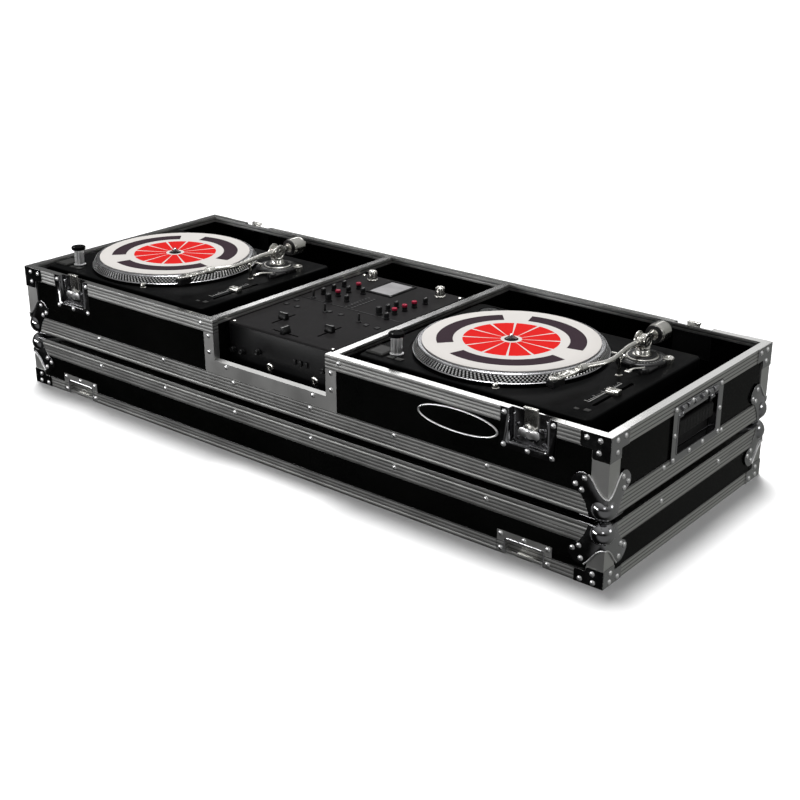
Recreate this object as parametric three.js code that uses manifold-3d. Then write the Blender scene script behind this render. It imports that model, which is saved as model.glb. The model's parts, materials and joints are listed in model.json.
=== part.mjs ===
// A DJ coffin case as it is used on a table: the lid stands open side down as a stand, and the
// tray on top of it holds two turntables with a two channel mixer between them.
// Millimetres, +Z up. The origin is the middle of the lid's footprint on the floor,
// +X runs along the case to the right and -Y is the front, where the mixer's notch is.
import * as THREE from 'three';
import { mergeVertices } from 'three/addons/utils/BufferGeometryUtils.js';
import Module from 'manifold-3d';

const wasm = await Module();
wasm.setup();

// Case: outer size, plywood and aluminium edging
const caseLength = 1362;
const caseDepth = 522;
const lidHeight = 101;
const trayHeight = 134.7;
const panelThickness = 9.5;
const edgingThickness = 2.2;
const rimFlange = 25;
const lidRimFlange = 22;
const baseFlange = 34;
const edgingReturn = 30;
const innerLip = 12;
const cornerAngleLeg = 30;
const grooveWidth = 1.6;
const grooveDepth = 0.6;
const groovePitch = 6.4;

// Gaps and overruns
const fitGap = 0.3;
const cutOverrun = 3;
const snapStep = 1 / 1024;

// Tray: notch in front of the mixer, and the two dividers
const notchLeftShare = -0.10279;
const notchRightShare = 0.095448;
const notchSillHeight = 59;
const postFlange = 24;
const dividerOffset = 4.25;
const foamThickness = 10.3;
const cableNotchWidth = 60;
const cableNotchHeight = 45;
const cableNotchInset = 14;

// Ball corners
const ballRadius = 24;
const ballProud = 8;
const ballRise = 6;
const leafThickness = 1.2;
const leafReach = 63;
const leafHeight = 70;

// Rim corner brackets
const bracketThickness = 1.2;
const bracketReach = 51;
const bracketHeight = 41;
const lidBracketHeight = 30;

// Rivets
const rivetRadius = 4.2;
const rivetHeight = 1.8;
const rivetSpacing = 186;
const endRivetSpacing = 190;
const rivetInset = 6;

// Butterfly latches and their keepers
const latchInset = 143;
const latchPlateWidth = 102;
const latchPlateHeight = 67;
const latchPlateThickness = 1.5;
const latchPocketWidth = 72;
const latchPocketDrop = 56;
const latchWall = 1.2;
const hookWidth = 25;
const hookThickness = 2;
const hookLength = 50;
const hookRise = 7;
const hookLipReach = 4;
const hookLipHeight = 4;
const keyBossRadius = 9;
const keyBossDepth = 3;
const keyWingSpan = 38;
const keyWingHeight = 15;
const keyWingThickness = 3.2;
const keyDrop = 34;
const keeperPlateHeight = 40;
const keeperPocketHeight = 28;
const catchBarHeight = 4;
const catchBarThickness = 3;

// Recessed end handles
const handleShift = 5;
const handlePlateWidth = 163;
const handlePlateLow = 25;
const handlePlateHigh = 122;
const handlePlateThickness = 1.2;
const handlePocketWidth = 132;
const handlePocketLow = 37;
const handlePocketHigh = 108;
const handlePocketDepth = 15;
const gripBarLength = 112;
const gripBarHeight = 26;
const gripBarThickness = 11;
const gripRodRadius = 3;
const gripPivotDrop = 9;
const gripArmWidth = 8;
const gripArmThickness = 4;
const gripRodToBar = 7;

// Turntables: plinth, platter, slipmat
const leftBayGap = 6;
const rightBayGap = 20;
const frontBayGap = 27.3;
const plinthWidthShare = 0.3326;
const plinthDepthShare = 0.77925;
const turntableHeight = 109.2;
const cabinetHeight = 44;
const baseInset = 5;
const plinthCornerRadius = 12;
const plinthBevel = 3;
const footHeight = 3;
const footRadius = 30;
const footInset = 48;
const spindleFromLeftShare = 0.41943;
const platterRadiusShare = 0.36645;
const platterThickness = 15;
const platterLift = 3.5;
const platterRimHeight = 2;
const platterShoulder = 8;
const hubRadius = 35;
const spindleRadius = 3.6;
const spindleHeight = 12;
const slipmatInset = 16;
const slipmatThickness = 2.2;

// Turntables: controls on the plinth
const startButtonWidthShare = 0.07947;
const startButtonDepthShare = 0.09272;
const startButtonPlaceShares = [-0.37086, -0.30243];
const startButtonProud = 3;
const startButtonSkirt = 3;
const startButtonWell = 6;
const pillarRadius = 9;
const pillarHeight = 38;
const pillarCapRadius = 14;
const pillarCapHeight = 6;
const pillarPlaceShares = [-0.30905, -0.29139];
const lampRadius = 5;
const lampHeight = 9;
const lampPlaceShares = [0.17219, -0.33996];
const pitchPlaceShares = [0.52097, -0.13687];
const pitchSlotLength = 118;
const pitchSlotWidth = 6;
const pitchSlotDepth = 7;
const pitchKnobWidth = 22;
const pitchKnobDepth = 15;
const pitchKnobHeight = 9;

// Turntables: tonearm
const armPivotShares = [0.43267, 0.20751];
const armHeight = 37;
const armLengthShare = 0.54746;
const armPathShares = [[0, 0], [-0.016, -0.14], [0.016, -0.32], [0.036, -0.44], [0.03, -0.53], [-0.008, -0.61],
  [-0.03, -0.66]];
const armTubeRadius = 4.5;
const armBaseRadius = 42;
const armBaseHeight = 9;
const armRingRadius = 24;
const armRingHeight = 13;
const armPostRadius = 13;
const armPostTop = 22;
const armBlockWidth = 14;
const armBlockLength = 22;
const armBlockHeight = 15;
const gimbalRadius = 14;
const gimbalCheek = 3;
const gimbalFloor = 4;
const armStubRadius = 6;
const armStubLength = 80;
const counterweightRadius = 17;
const counterweightLength = 34;
const counterweightGap = 33;
const collarRadius = 7;
const collarLength = 20;
const headshellLength = 64;
const headshellWidth = 19;
const headshellThickness = 4;
const headshellTurn = 8 * Math.PI / 180;
const cartridgeLength = 26;
const cartridgeWidth = 16;
const stylusClearance = 1;
const armRestShares = [0.4415, 0.03091];
const armRestRadius = 4;
const antiSkateRadius = 10;
const antiSkateHeight = 11;
const antiSkateShares = [0.51656, 0.24724];

// Mixer
const mixerDepth = 376;
const mixerHeight = 100.5;
const mixerFrontGap = 31.3;
const mixerLeftGap = 2.3;
const mixerRightGap = 26.6;
const mixerBevel = 2.5;
const mixerCornerRadius = 4;
const faderSlotLength = 62;
const faderSlotWidth = 4.4;
const faderSlotDepth = 8;
const faderCapLength = 18;
const faderCapWidth = 11;
const faderCapHeight = 13;
const faderStemLength = 8;
const crossfaderShare = -0.45745;
const lineFaderShares = [0.22047, -0.31383];
const levelKnobRadius = 11;
const levelKnobHeight = 19;
const levelKnobShares = [0.33071, 0.43617];
const eqKnobRadius = 7;
const eqKnobHeight = 15;
const eqKnobShares = [0.24409, 0.0266];
const knobSkirtHeight = 3;

// Values worked out from the sizes above
const halfLength = caseLength / 2;
const halfDepth = caseDepth / 2;
const panelOuterX = halfLength - edgingThickness;
const panelOuterY = halfDepth - edgingThickness;
const panelInnerX = panelOuterX - panelThickness;
const panelInnerY = panelOuterY - panelThickness;
const lipInnerX = panelInnerX - edgingThickness;
const lipInnerY = panelInnerY - edgingThickness;
const trayBase = lidHeight + 2 * ballRise + fitGap;
const floorLow = trayBase + edgingThickness;
const floorTop = floorLow + panelThickness;
const rimHeight = trayBase + trayHeight;
const panelTop = rimHeight - edgingThickness;
const sillHeight = trayBase + notchSillHeight;
const foamTop = floorTop + foamThickness;
const notchLeft = notchLeftShare * caseLength;
const notchRight = notchRightShare * caseLength;
const leftDividerX = notchLeft - edgingThickness - dividerOffset - panelThickness / 2;
const rightDividerX = notchRight + edgingThickness + dividerOffset + panelThickness / 2;
const latchX = halfLength - latchInset;
const plinthWidth = plinthWidthShare * caseLength;
const plinthDepth = plinthDepthShare * plinthWidth;
const spindleFromLeft = spindleFromLeftShare * plinthWidth;
const platterRadius = platterRadiusShare * plinthWidth;
const slipmatRadius = platterRadius - slipmatInset;
const onPlinth = (shares) => shares.map((share) => share * plinthWidth);
const [startButtonX, startButtonY] = onPlinth(startButtonPlaceShares);
const [startButtonWidth, startButtonDepth] = onPlinth([startButtonWidthShare, startButtonDepthShare]);
const [pillarX, pillarY] = onPlinth(pillarPlaceShares);
const [lampX, lampY] = onPlinth(lampPlaceShares);
const [pitchX, pitchY] = onPlinth(pitchPlaceShares);
const [armPivotX, armPivotY] = onPlinth(armPivotShares);
const [armRestX, armRestY] = onPlinth(armRestShares);
const [antiSkateX, antiSkateY] = onPlinth(antiSkateShares);
const armLength = armLengthShare * plinthWidth;
const mixerWidth = rightDividerX - leftDividerX - panelThickness - mixerLeftGap - mixerRightGap;
const onMixer = ([x, y]) => [x * mixerWidth, y * mixerDepth];
const crossfaderY = crossfaderShare * mixerDepth;
const [lineFaderX, lineFaderY] = onMixer(lineFaderShares);
const [levelKnobX, levelKnobY] = onMixer(levelKnobShares);
const [eqKnobX, eqKnobY] = onMixer(eqKnobShares);

const materials = {
  laminate: () => new THREE.MeshStandardMaterial({ color: 0x0b0b0c, roughness: 0.35, metalness: 0 }),
  edging: () => new THREE.MeshStandardMaterial({ color: 0xb4b5b6, roughness: 0.35, metalness: 1 }),
  chrome: () => new THREE.MeshStandardMaterial({ color: 0xd9dadb, roughness: 0.12, metalness: 1 }),
  foam: () => new THREE.MeshStandardMaterial({ color: 0x1a1a1b, roughness: 1, metalness: 0 }),
  rubber: () => new THREE.MeshStandardMaterial({ color: 0x161616, roughness: 0.7, metalness: 0 }),
  cabinet: () => new THREE.MeshStandardMaterial({ color: 0x17181a, roughness: 0.4, metalness: 0.3 }),
  platter: () => new THREE.MeshStandardMaterial({ color: 0xc4c5c6, roughness: 0.3, metalness: 1 }),
  felt: () => new THREE.MeshStandardMaterial({ color: 0xe9e6e1, roughness: 1, metalness: 0 }),
  armMetal: () => new THREE.MeshStandardMaterial({ color: 0xd6d5cf, roughness: 0.25, metalness: 1 }),
  lightKey: () => new THREE.MeshStandardMaterial({ color: 0x9c9b98, roughness: 0.4, metalness: 0.6 }),
  mixerPaint: () => new THREE.MeshStandardMaterial({ color: 0x3a393b, roughness: 0.45, metalness: 0.4 }),
  capPlastic: () => new THREE.MeshStandardMaterial({ color: 0x101011, roughness: 0.5, metalness: 0 }),
};

// Solids: three.js makes each shape, manifold joins and cuts
function solidOf(geometry) {
  const bare = geometry.clone();
  bare.deleteAttribute('normal');
  bare.deleteAttribute('uv');
  const corner = bare.attributes.position;
  for (let i = 0; i < corner.array.length; i += 1) {
    corner.array[i] = Math.round(corner.array[i] / snapStep) * snapStep;
  }
  const merged = mergeVertices(bare);
  return new wasm.Manifold(new wasm.Mesh({
    numProp: 3,
    vertProperties: new Float32Array(merged.attributes.position.array),
    triVerts: new Uint32Array(merged.index.array),
  }));
}

function geometryOf(solid) {
  const mesh = solid.getMesh();
  const geometry = new THREE.BufferGeometry();
  geometry.setAttribute('position', new THREE.BufferAttribute(new Float32Array(mesh.vertProperties), 3));
  geometry.setIndex(new THREE.BufferAttribute(new Uint32Array(mesh.triVerts), 1));
  return geometry;
}

const join = (...solids) => solids.reduce((whole, next) => whole.add(next));
const cut = (solid, ...cutters) => cutters.reduce((left, next) => left.subtract(next), solid);

// A box given by its low and high value along each axis, in either order
function block(xs, ys, zs) {
  const [x0, x1] = [Math.min(...xs), Math.max(...xs)];
  const [y0, y1] = [Math.min(...ys), Math.max(...ys)];
  const [z0, z1] = [Math.min(...zs), Math.max(...zs)];
  const geometry = new THREE.BoxGeometry(1, 1, 1);
  const corner = geometry.attributes.position;
  for (let i = 0; i < corner.count; i += 1) {
    corner.setXYZ(
      i,
      corner.getX(i) < 0 ? x0 : x1,
      corner.getY(i) < 0 ? y0 : y1,
      corner.getZ(i) < 0 ? z0 : z1,
    );
  }
  return solidOf(geometry);
}

// A rectangular ring round the case: its outer half sizes, its wall and its height
function ring(outX, outY, wall, zs) {
  const over = [Math.min(...zs) - cutOverrun, Math.max(...zs) + cutOverrun];
  return cut(
    block([-outX, outX], [-outY, outY], zs),
    block([wall - outX, outX - wall], [wall - outY, outY - wall], over),
  );
}

// An outline given in (u, v), made thickness deep along w, and set in place by toPlace(u, v, w)
function prism(outline, thickness, toPlace) {
  const shape = new THREE.Shape(outline.map(([u, v]) => new THREE.Vector2(u, v)));
  const geometry = new THREE.ExtrudeGeometry(shape, { depth: thickness, bevelEnabled: false });
  return placed(geometry, toPlace);
}

function placed(geometry, toPlace) {
  const flat = geometry.index ? geometry.toNonIndexed() : geometry.clone();
  const at = flat.attributes.position;
  const origin = new THREE.Vector3(...toPlace(0, 0, 0));
  const alongU = new THREE.Vector3(...toPlace(1, 0, 0)).sub(origin);
  const alongV = new THREE.Vector3(...toPlace(0, 1, 0)).sub(origin);
  const alongW = new THREE.Vector3(...toPlace(0, 0, 1)).sub(origin);
  const mirrored = alongU.cross(alongV).dot(alongW) < 0;
  const spots = [];
  for (let i = 0; i < at.count; i += 1) {
    spots.push(toPlace(at.getX(i), at.getY(i), at.getZ(i)));
  }
  for (let i = 0; i < at.count; i += 3) {
    const corners = mirrored ? [spots[i], spots[i + 2], spots[i + 1]] : spots.slice(i, i + 3);
    corners.forEach((spot, k) => at.setXYZ(i + k, ...spot));
  }
  return solidOf(flat);
}

// A turned solid about +Z from its (radius, height) profile
function turned(profile, segments, x = 0, y = 0, z = 0) {
  const points = profile.map(([radius, height]) => new THREE.Vector2(radius, height));
  const geometry = new THREE.LatheGeometry(points, segments);
  geometry.rotateX(Math.PI / 2);
  geometry.translate(x, y, z);
  return solidOf(geometry);
}

const drum = (radius, low, high, segments, x = 0, y = 0) =>
  turned([[0, low], [radius, low], [radius, high], [0, high]], segments, x, y);

// A low dome headed rivet whose shank end is sunk a little into what carries it
function rivet(toPlace) {
  const geometry = new THREE.CylinderGeometry(0.62 * rivetRadius, rivetRadius, rivetHeight, 5);
  geometry.rotateX(Math.PI / 2);
  geometry.translate(0, 0, rivetHeight / 2);
  return placed(geometry, toPlace);
}

const rivetSink = rivetHeight / 6;
const rivetOnY = (x, y, z, side) => rivet((u, v, w) => [x + u, y + side * (w - rivetSink), z + v]);
const rivetOnX = (x, y, z, side) => rivet((u, v, w) => [x + side * (w - rivetSink), y + u, z + v]);

function node(name, solid, material, position = [0, 0, 0]) {
  const mesh = new THREE.Mesh(geometryOf(solid), material);
  mesh.name = name;
  mesh.position.set(...position);
  return mesh;
}

const sideName = { front: -1, back: 1 };
const endName = { left: -1, right: 1 };
const corners = [];
for (const [side, sy] of Object.entries(sideName)) {
  for (const [end, sx] of Object.entries(endName)) {
    corners.push({ name: `${side}_${end}`, sx, sy });
  }
}

// Edging: ribs as grooves in the outer face of a flange
function grooves(zLow, flange) {
  const count = Math.floor((flange - groovePitch / 2) / groovePitch);
  const first = zLow + (flange - (count - 1) * groovePitch) / 2;
  const cutters = [];
  for (let i = 0; i < count; i += 1) {
    const middle = first + i * groovePitch;
    const zs = [middle - grooveWidth / 2, middle + grooveWidth / 2];
    cutters.push(ring(halfLength + cutOverrun, halfDepth + cutOverrun, cutOverrun + grooveDepth, zs));
  }
  return join(...cutters);
}

// Upright aluminium angles on the four corners between two heights
function cornerAngles(zs) {
  const whole = ring(halfLength, halfDepth, edgingThickness, zs);
  const inX = halfLength - cornerAngleLeg;
  const inY = halfDepth - cornerAngleLeg;
  const wideX = halfLength + cutOverrun;
  const wideY = halfDepth + cutOverrun;
  return cut(whole, block([-inX, inX], [-wideY, wideY], zs), block([-wideX, wideX], [-inY, inY], zs));
}

// The case's corners are nipped off to a small cube that the ball corner's nose fills
const nibble = edgingThickness + panelThickness;

function cornerNibble(sx, sy, zEdge, up) {
  return block(
    [sx * (halfLength - nibble), sx * (halfLength + cutOverrun)],
    [sy * (halfDepth - nibble), sy * (halfDepth + cutOverrun)],
    [zEdge - up * nibble, zEdge + up * cutOverrun],
  );
}

const ballRelief = (zEdge, up) => corners.map(({ sx, sy }) => cornerNibble(sx, sy, zEdge, up));

// A pressed steel ball corner: a round nose and three lobed leaves with their rivets
const leafOutline = [
  [-leafThickness, 0],
  [0.76 * leafReach, 0],
  [leafReach, 0.63 * leafHeight],
  [0.92 * leafReach, 0.81 * leafHeight],
  [0.7 * leafReach, leafHeight],
  [0.49 * leafReach, 0.98 * leafHeight],
  [-leafThickness, 0.5 * leafHeight],
];
const flatLeafOutline = [
  [-leafThickness, -leafThickness],
  [0.76 * leafReach, -leafThickness],
  [leafReach, 0.7 * leafReach],
  [0.9 * leafReach, 0.9 * leafReach],
  [0.7 * leafReach, leafReach],
  [-leafThickness, 0.76 * leafReach],
];
const leafRivetShares = [[0.88, 0.67], [0.635, 0.857], [0.7, 0.57]];

function ballCorner(sx, sy, zEdge, up) {
  const centre = [
    sx * (halfLength - ballRadius + ballProud),
    sy * (halfDepth - ballRadius + ballProud),
    zEdge - up * (ballRadius - ballRise),
  ];
  const sphere = new THREE.SphereGeometry(ballRadius, 14, 8);
  sphere.rotateX(Math.PI / 2);
  sphere.translate(...centre);
  const far = 2 * leafHeight;
  const caseBody = cut(
    block([sx * (halfLength - far), sx * halfLength], [sy * (halfDepth - far), sy * halfDepth],
      [zEdge - up * far, zEdge]),
    cornerNibble(sx, sy, zEdge, up),
  );
  const onY = (u, v, w) => [sx * (halfLength - u), sy * (halfDepth + w), zEdge - up * v];
  const onX = (u, v, w) => [sx * (halfLength + w), sy * (halfDepth - u), zEdge - up * v];
  const onZ = (u, v, w) => [sx * (halfLength - u), sy * (halfDepth - v), zEdge + up * w];
  const leaves = [
    prism(leafOutline, leafThickness, onY),
    prism(leafOutline, leafThickness, onX),
    prism(flatLeafOutline, leafThickness, onZ),
  ];
  const rivets = leafRivetShares.flatMap(([u, v]) => [
    rivetOnY(sx * (halfLength - u * leafReach), sy * (halfDepth + leafThickness), zEdge - up * v * leafHeight, sy),
    rivetOnX(sx * (halfLength + leafThickness), sy * (halfDepth - u * leafReach), zEdge - up * v * leafHeight, sx),
  ]);
  return join(cut(join(solidOf(sphere), ...leaves), caseBody), ...rivets);
}

// A flat steel bracket over a rim corner, with three rivets on each face
const bracketRivetShares = [[0.78, 0.22], [0.33, 0.22], [0.36, 0.7]];

function cornerBracket(sx, sy, zEdge, up, height, flange) {
  const outline = [
    [-bracketThickness, 0],
    [bracketReach, 0],
    [bracketReach, flange],
    [cornerAngleLeg, flange],
    [cornerAngleLeg, height],
    [-bracketThickness, height],
  ];
  const onY = (u, v, w) => [sx * (halfLength - u), sy * (halfDepth + w), zEdge - up * v];
  const onX = (u, v, w) => [sx * (halfLength + w), sy * (halfDepth - u), zEdge - up * v];
  const rivets = bracketRivetShares.flatMap(([u, v]) => {
    const drop = zEdge - up * v * height;
    const along = u * bracketReach;
    return [
      rivetOnY(sx * (halfLength - along), sy * (halfDepth + bracketThickness), drop, sy),
      rivetOnX(sx * (halfLength + bracketThickness), sy * (halfDepth - along), drop, sx),
    ];
  });
  return join(prism(outline, bracketThickness, onY), prism(outline, bracketThickness, onX), ...rivets);
}

// Rivets along a strip of edging, on all four sides
function stripRivets(z) {
  const rivets = [];
  const steps = Math.floor((caseLength / 2 - latchPlateWidth) / rivetSpacing);
  for (let i = 0; i < steps; i += 1) {
    for (const sx of [-1, 1]) {
      const x = sx * (i + 0.5) * rivetSpacing;
      rivets.push(rivetOnY(x, -halfDepth, z, -1), rivetOnY(x, halfDepth, z, 1));
    }
  }
  for (const sx of [-1, 1]) {
    for (const sy of [-1, 1]) {
      rivets.push(rivetOnX(sx * halfLength, sy * endRivetSpacing / 2, z, sx));
    }
  }
  return rivets;
}

// Where a latch dish or keeper sits: the wall is cut right through, the edging only round the plate
const latchPlaces = corners.map(({ name, sx, sy }) => ({ name, x: sx * latchX, sy }));
const pocketCutHalf = latchPocketWidth / 2 + latchWall + fitGap;
const plateCutHalf = latchPlateWidth / 2 + fitGap;

function latchWallCut({ x, sy }, zs) {
  return block([x - pocketCutHalf, x + pocketCutHalf],
    [sy * (panelInnerY - cutOverrun), sy * (panelOuterY + cutOverrun)], zs);
}

function latchEdgingCut({ x, sy }, plateZs, webZs) {
  return join(
    block([x - plateCutHalf, x + plateCutHalf], [sy * panelOuterY, sy * (halfDepth + cutOverrun)], plateZs),
    block([x - pocketCutHalf, x + pocketCutHalf], [sy * panelInnerY, sy * (halfDepth + cutOverrun)], webZs),
  );
}

// A pressed dish that is open at the rim: plate, pocket walls, back and rivets
function pocketPlate({ x, sy }, zEdge, up, plateHeight, pocketHeight) {
  const half = latchPocketWidth / 2;
  const face = panelOuterY + latchPlateThickness;
  const plate = cut(
    block([x - latchPlateWidth / 2, x + latchPlateWidth / 2], [sy * panelOuterY, sy * face],
      [zEdge, zEdge - up * plateHeight]),
    block([x - half, x + half], [sy * (panelOuterY - cutOverrun), sy * (face + cutOverrun)],
      [zEdge + up * cutOverrun, zEdge - up * pocketHeight]),
  );
  const pocket = cut(
    block([x - half - latchWall, x + half + latchWall], [sy * panelInnerY, sy * panelOuterY],
      [zEdge, zEdge - up * (pocketHeight + latchWall)]),
    block([x - half, x + half], [sy * (panelInnerY + latchWall), sy * (panelOuterY + cutOverrun)],
      [zEdge + up * cutOverrun, zEdge - up * pocketHeight]),
  );
  const rivetX = (latchPocketWidth + latchPlateWidth) / 4 + latchWall / 2;
  const lowZ = zEdge - up * (plateHeight + pocketHeight) / 2;
  const rivets = [[0, lowZ]];
  for (const sx of [-1, 1]) {
    rivets.push([sx * rivetX, zEdge - up * 2 * rivetRadius], [sx * rivetX, lowZ]);
  }
  return join(plate, pocket, ...rivets.map(([dx, z]) => rivetOnY(x + dx, sy * face, z, sy)));
}

// Lid: top panel, wall frame, edging and ball corners
function makeLid() {
  const lid = new THREE.Group();
  const relief = ballRelief(lidHeight, 1);
  const panelLow = lidHeight - edgingThickness - panelThickness;
  const topPanel = block([-panelOuterX, panelOuterX], [-panelOuterY, panelOuterY],
    [panelLow, lidHeight - edgingThickness]);
  lid.add(node('lid_top_panel', cut(topPanel, ...relief), materials.laminate()));

  const walls = ring(panelOuterX, panelOuterY, panelThickness, [edgingThickness, panelLow]);
  const keeperCutTop = keeperPocketHeight + latchWall + fitGap;
  const wallCuts = latchPlaces.map((place) => latchWallCut(place, [0, keeperCutTop]));
  lid.add(node('lid_wall_frame', cut(walls, ...wallCuts, ...relief), materials.laminate()));

  const topLow = lidHeight - baseFlange;
  const topEdging = join(
    cut(ring(halfLength, halfDepth, edgingThickness, [topLow, lidHeight]), grooves(topLow, baseFlange)),
    ring(halfLength, halfDepth, edgingReturn, [lidHeight - edgingThickness, lidHeight]),
  );
  lid.add(node('lid_top_edging',
    join(cut(topEdging, ...relief), ...stripRivets(topLow + baseFlange / 2)), materials.edging()));

  const rim = join(
    cut(ring(halfLength, halfDepth, edgingThickness, [0, lidRimFlange]), grooves(0, lidRimFlange)),
    ring(halfLength, halfDepth, halfDepth - lipInnerY, [0, edgingThickness]),
    ring(panelInnerX, panelInnerY, edgingThickness, [0, innerLip]),
    cornerAngles([lidRimFlange, topLow]),
  );
  const plateZs = [-cutOverrun, keeperPlateHeight + fitGap];
  const webZs = [-cutOverrun, keeperCutTop];
  const rimCuts = latchPlaces.map((place) => latchEdgingCut(place, plateZs, webZs));
  const keepers = latchPlaces.map((place) => keeper(place));
  const brackets = corners.map(({ sx, sy }) => cornerBracket(sx, sy, 0, -1, lidBracketHeight, lidRimFlange));
  lid.add(node('lid_rim_edging', join(cut(rim, ...rimCuts), ...keepers, ...brackets), materials.edging()));

  for (const { name, sx, sy } of corners) {
    lid.add(node(`lid_ball_corner_${name}`, ballCorner(sx, sy, lidHeight, 1), materials.chrome()));
  }
  return lid;
}

// The keeper dish in the lid's rim, with the bar that a latch hook catches
function keeper(place) {
  const half = latchPocketWidth / 2 + latchWall;
  const bar = block([place.x - half, place.x + half],
    [place.sy * (panelOuterY - catchBarThickness), place.sy * panelOuterY],
    [edgingThickness, edgingThickness + catchBarHeight]);
  const seat = block([place.x - plateCutHalf, place.x + plateCutHalf],
    [place.sy * panelInnerY, place.sy * (panelInnerY + latchWall)], [0, edgingThickness]);
  return join(pocketPlate(place, 0, -1, keeperPlateHeight, keeperPocketHeight), bar, seat);
}

// Tray shell: floor, four walls, two dividers and the foam that the gear stands on
function makeTrayShell() {
  const shell = new THREE.Group();
  const relief = ballRelief(trayBase, -1);
  const floor = block([-panelOuterX, panelOuterX], [-panelOuterY, panelOuterY], [floorLow, floorTop]);
  shell.add(node('tray_floor', cut(floor, ...relief), materials.laminate()));

  const pocketLow = rimHeight - latchPocketDrop - latchWall - fitGap;
  const wallZs = [floorTop, panelTop];
  const cutZs = [pocketLow, panelTop + cutOverrun];
  for (const [side, sy] of Object.entries(sideName)) {
    const wall = block([-panelOuterX, panelOuterX], [sy * panelInnerY, sy * panelOuterY], wallZs);
    const cuts = latchPlaces.filter((place) => place.sy === sy).map((place) => latchWallCut(place, cutZs));
    if (side === 'front') {
      cuts.push(block([notchLeft - edgingThickness, notchRight + edgingThickness],
        [sy * (panelInnerY - cutOverrun), sy * (panelOuterY + cutOverrun)],
        [sillHeight - edgingThickness, panelTop + cutOverrun]));
    }
    shell.add(node(`tray_${side}_panel`, cut(wall, ...cuts, ...relief), materials.laminate()));
  }
  for (const [end, sx] of Object.entries(endName)) {
    const wall = block([sx * panelInnerX, sx * panelOuterX], [-panelInnerY, panelInnerY], wallZs);
    shell.add(node(`tray_${end}_panel`, cut(wall, handleWallCut(sx)), materials.laminate()));
  }
  for (const [end, x] of [['left', leftDividerX], ['right', rightDividerX]]) {
    const divider = block([x - panelThickness / 2, x + panelThickness / 2],
      [-panelInnerY, panelInnerY], wallZs);
    const lipRoom = [-1, 1].map((sy) => block(
      [x - panelThickness, x + panelThickness],
      [sy * (lipInnerY - fitGap), sy * (panelInnerY + cutOverrun)],
      [rimHeight - innerLip - fitGap, panelTop + cutOverrun],
    ));
    const cableNotch = block([x - panelThickness, x + panelThickness], cableNotchYs,
      [floorTop - cutOverrun, floorTop + cableNotchHeight]);
    shell.add(node(`divider_${end}`, cut(divider, ...lipRoom, cableNotch), materials.laminate()));
  }
  shell.add(node('tray_foam', foamSheet(), materials.foam()));
  return shell;
}

// One foam sheet, slotted for the dividers' feet, which runs through their cable notches
const cableNotchYs = [panelInnerY - cableNotchInset - cableNotchWidth, panelInnerY - cableNotchInset];

function foamSheet() {
  const inX = panelInnerX - fitGap;
  const inY = panelInnerY - fitGap;
  const zs = [floorTop - cutOverrun, foamTop + cutOverrun];
  const slots = [leftDividerX, rightDividerX].flatMap((x) => {
    const xs = [x - panelThickness / 2 - fitGap, x + panelThickness / 2 + fitGap];
    return [
      block(xs, [-inY - cutOverrun, cableNotchYs[0] + fitGap], zs),
      block(xs, [cableNotchYs[1] - fitGap, inY + cutOverrun], zs),
    ];
  });
  return cut(block([-inX, inX], [-inY, inY], [floorTop, foamTop]), ...slots);
}

// Tray edging: base strip with corner angles, and the rim with the notch frame and divider caps
function makeTrayEdging() {
  const edging = new THREE.Group();
  const relief = ballRelief(trayBase, -1);
  const stripTop = trayBase + baseFlange;
  const rimLow = rimHeight - rimFlange;
  const base = join(
    cut(ring(halfLength, halfDepth, edgingThickness, [trayBase, stripTop]), grooves(trayBase, baseFlange)),
    ring(halfLength, halfDepth, edgingReturn, [trayBase, floorLow]),
    cornerAngles([stripTop, rimLow]),
  );
  edging.add(node('tray_base_edging',
    join(cut(base, ...relief), ...stripRivets(stripTop - rivetInset)), materials.edging()));

  const bays = [
    [-lipInnerX, leftDividerX - panelThickness / 2 - edgingThickness],
    [leftDividerX + panelThickness / 2 + edgingThickness, rightDividerX - panelThickness / 2 - edgingThickness],
    [rightDividerX + panelThickness / 2 + edgingThickness, lipInnerX],
  ];
  const web = cut(
    block([-halfLength, halfLength], [-halfDepth, halfDepth], [panelTop, rimHeight]),
    ...bays.map((xs) => block(xs, [-lipInnerY, lipInnerY], [panelTop - cutOverrun, rimHeight + cutOverrun])),
  );
  const lips = bays.map(([x0, x1]) => cut(
    block([x0 - edgingThickness, x1 + edgingThickness], [-panelInnerY, panelInnerY],
      [rimHeight - innerLip, panelTop]),
    block([x0, x1], [-lipInnerY, lipInnerY], [rimHeight - innerLip - cutOverrun, rimHeight]),
  ));
  const flange = cut(ring(halfLength, halfDepth, edgingThickness, [rimLow, panelTop]), grooves(rimLow, rimFlange));
  const rim = join(web, flange, ...lips);
  const plateZs = [rimHeight - latchPlateHeight - fitGap, rimHeight + cutOverrun];
  const webZs = [rimHeight - latchPocketDrop - latchWall - fitGap, rimHeight + cutOverrun];
  const latchCuts = latchPlaces.map((place) => latchEdgingCut(place, plateZs, webZs));
  const notchOpening = block([notchLeft - edgingThickness, notchRight + edgingThickness],
    [-halfDepth - cutOverrun, -lipInnerY + cutOverrun], [rimLow - cutOverrun, rimHeight + cutOverrun]);
  const brackets = corners.map(({ sx, sy }) => cornerBracket(sx, sy, rimHeight, 1, bracketHeight, rimFlange));
  edging.add(node('tray_rim_edging',
    join(cut(rim, ...latchCuts, notchOpening), notchFrame(), ...brackets), materials.edging()));
  return edging;
}

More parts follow.
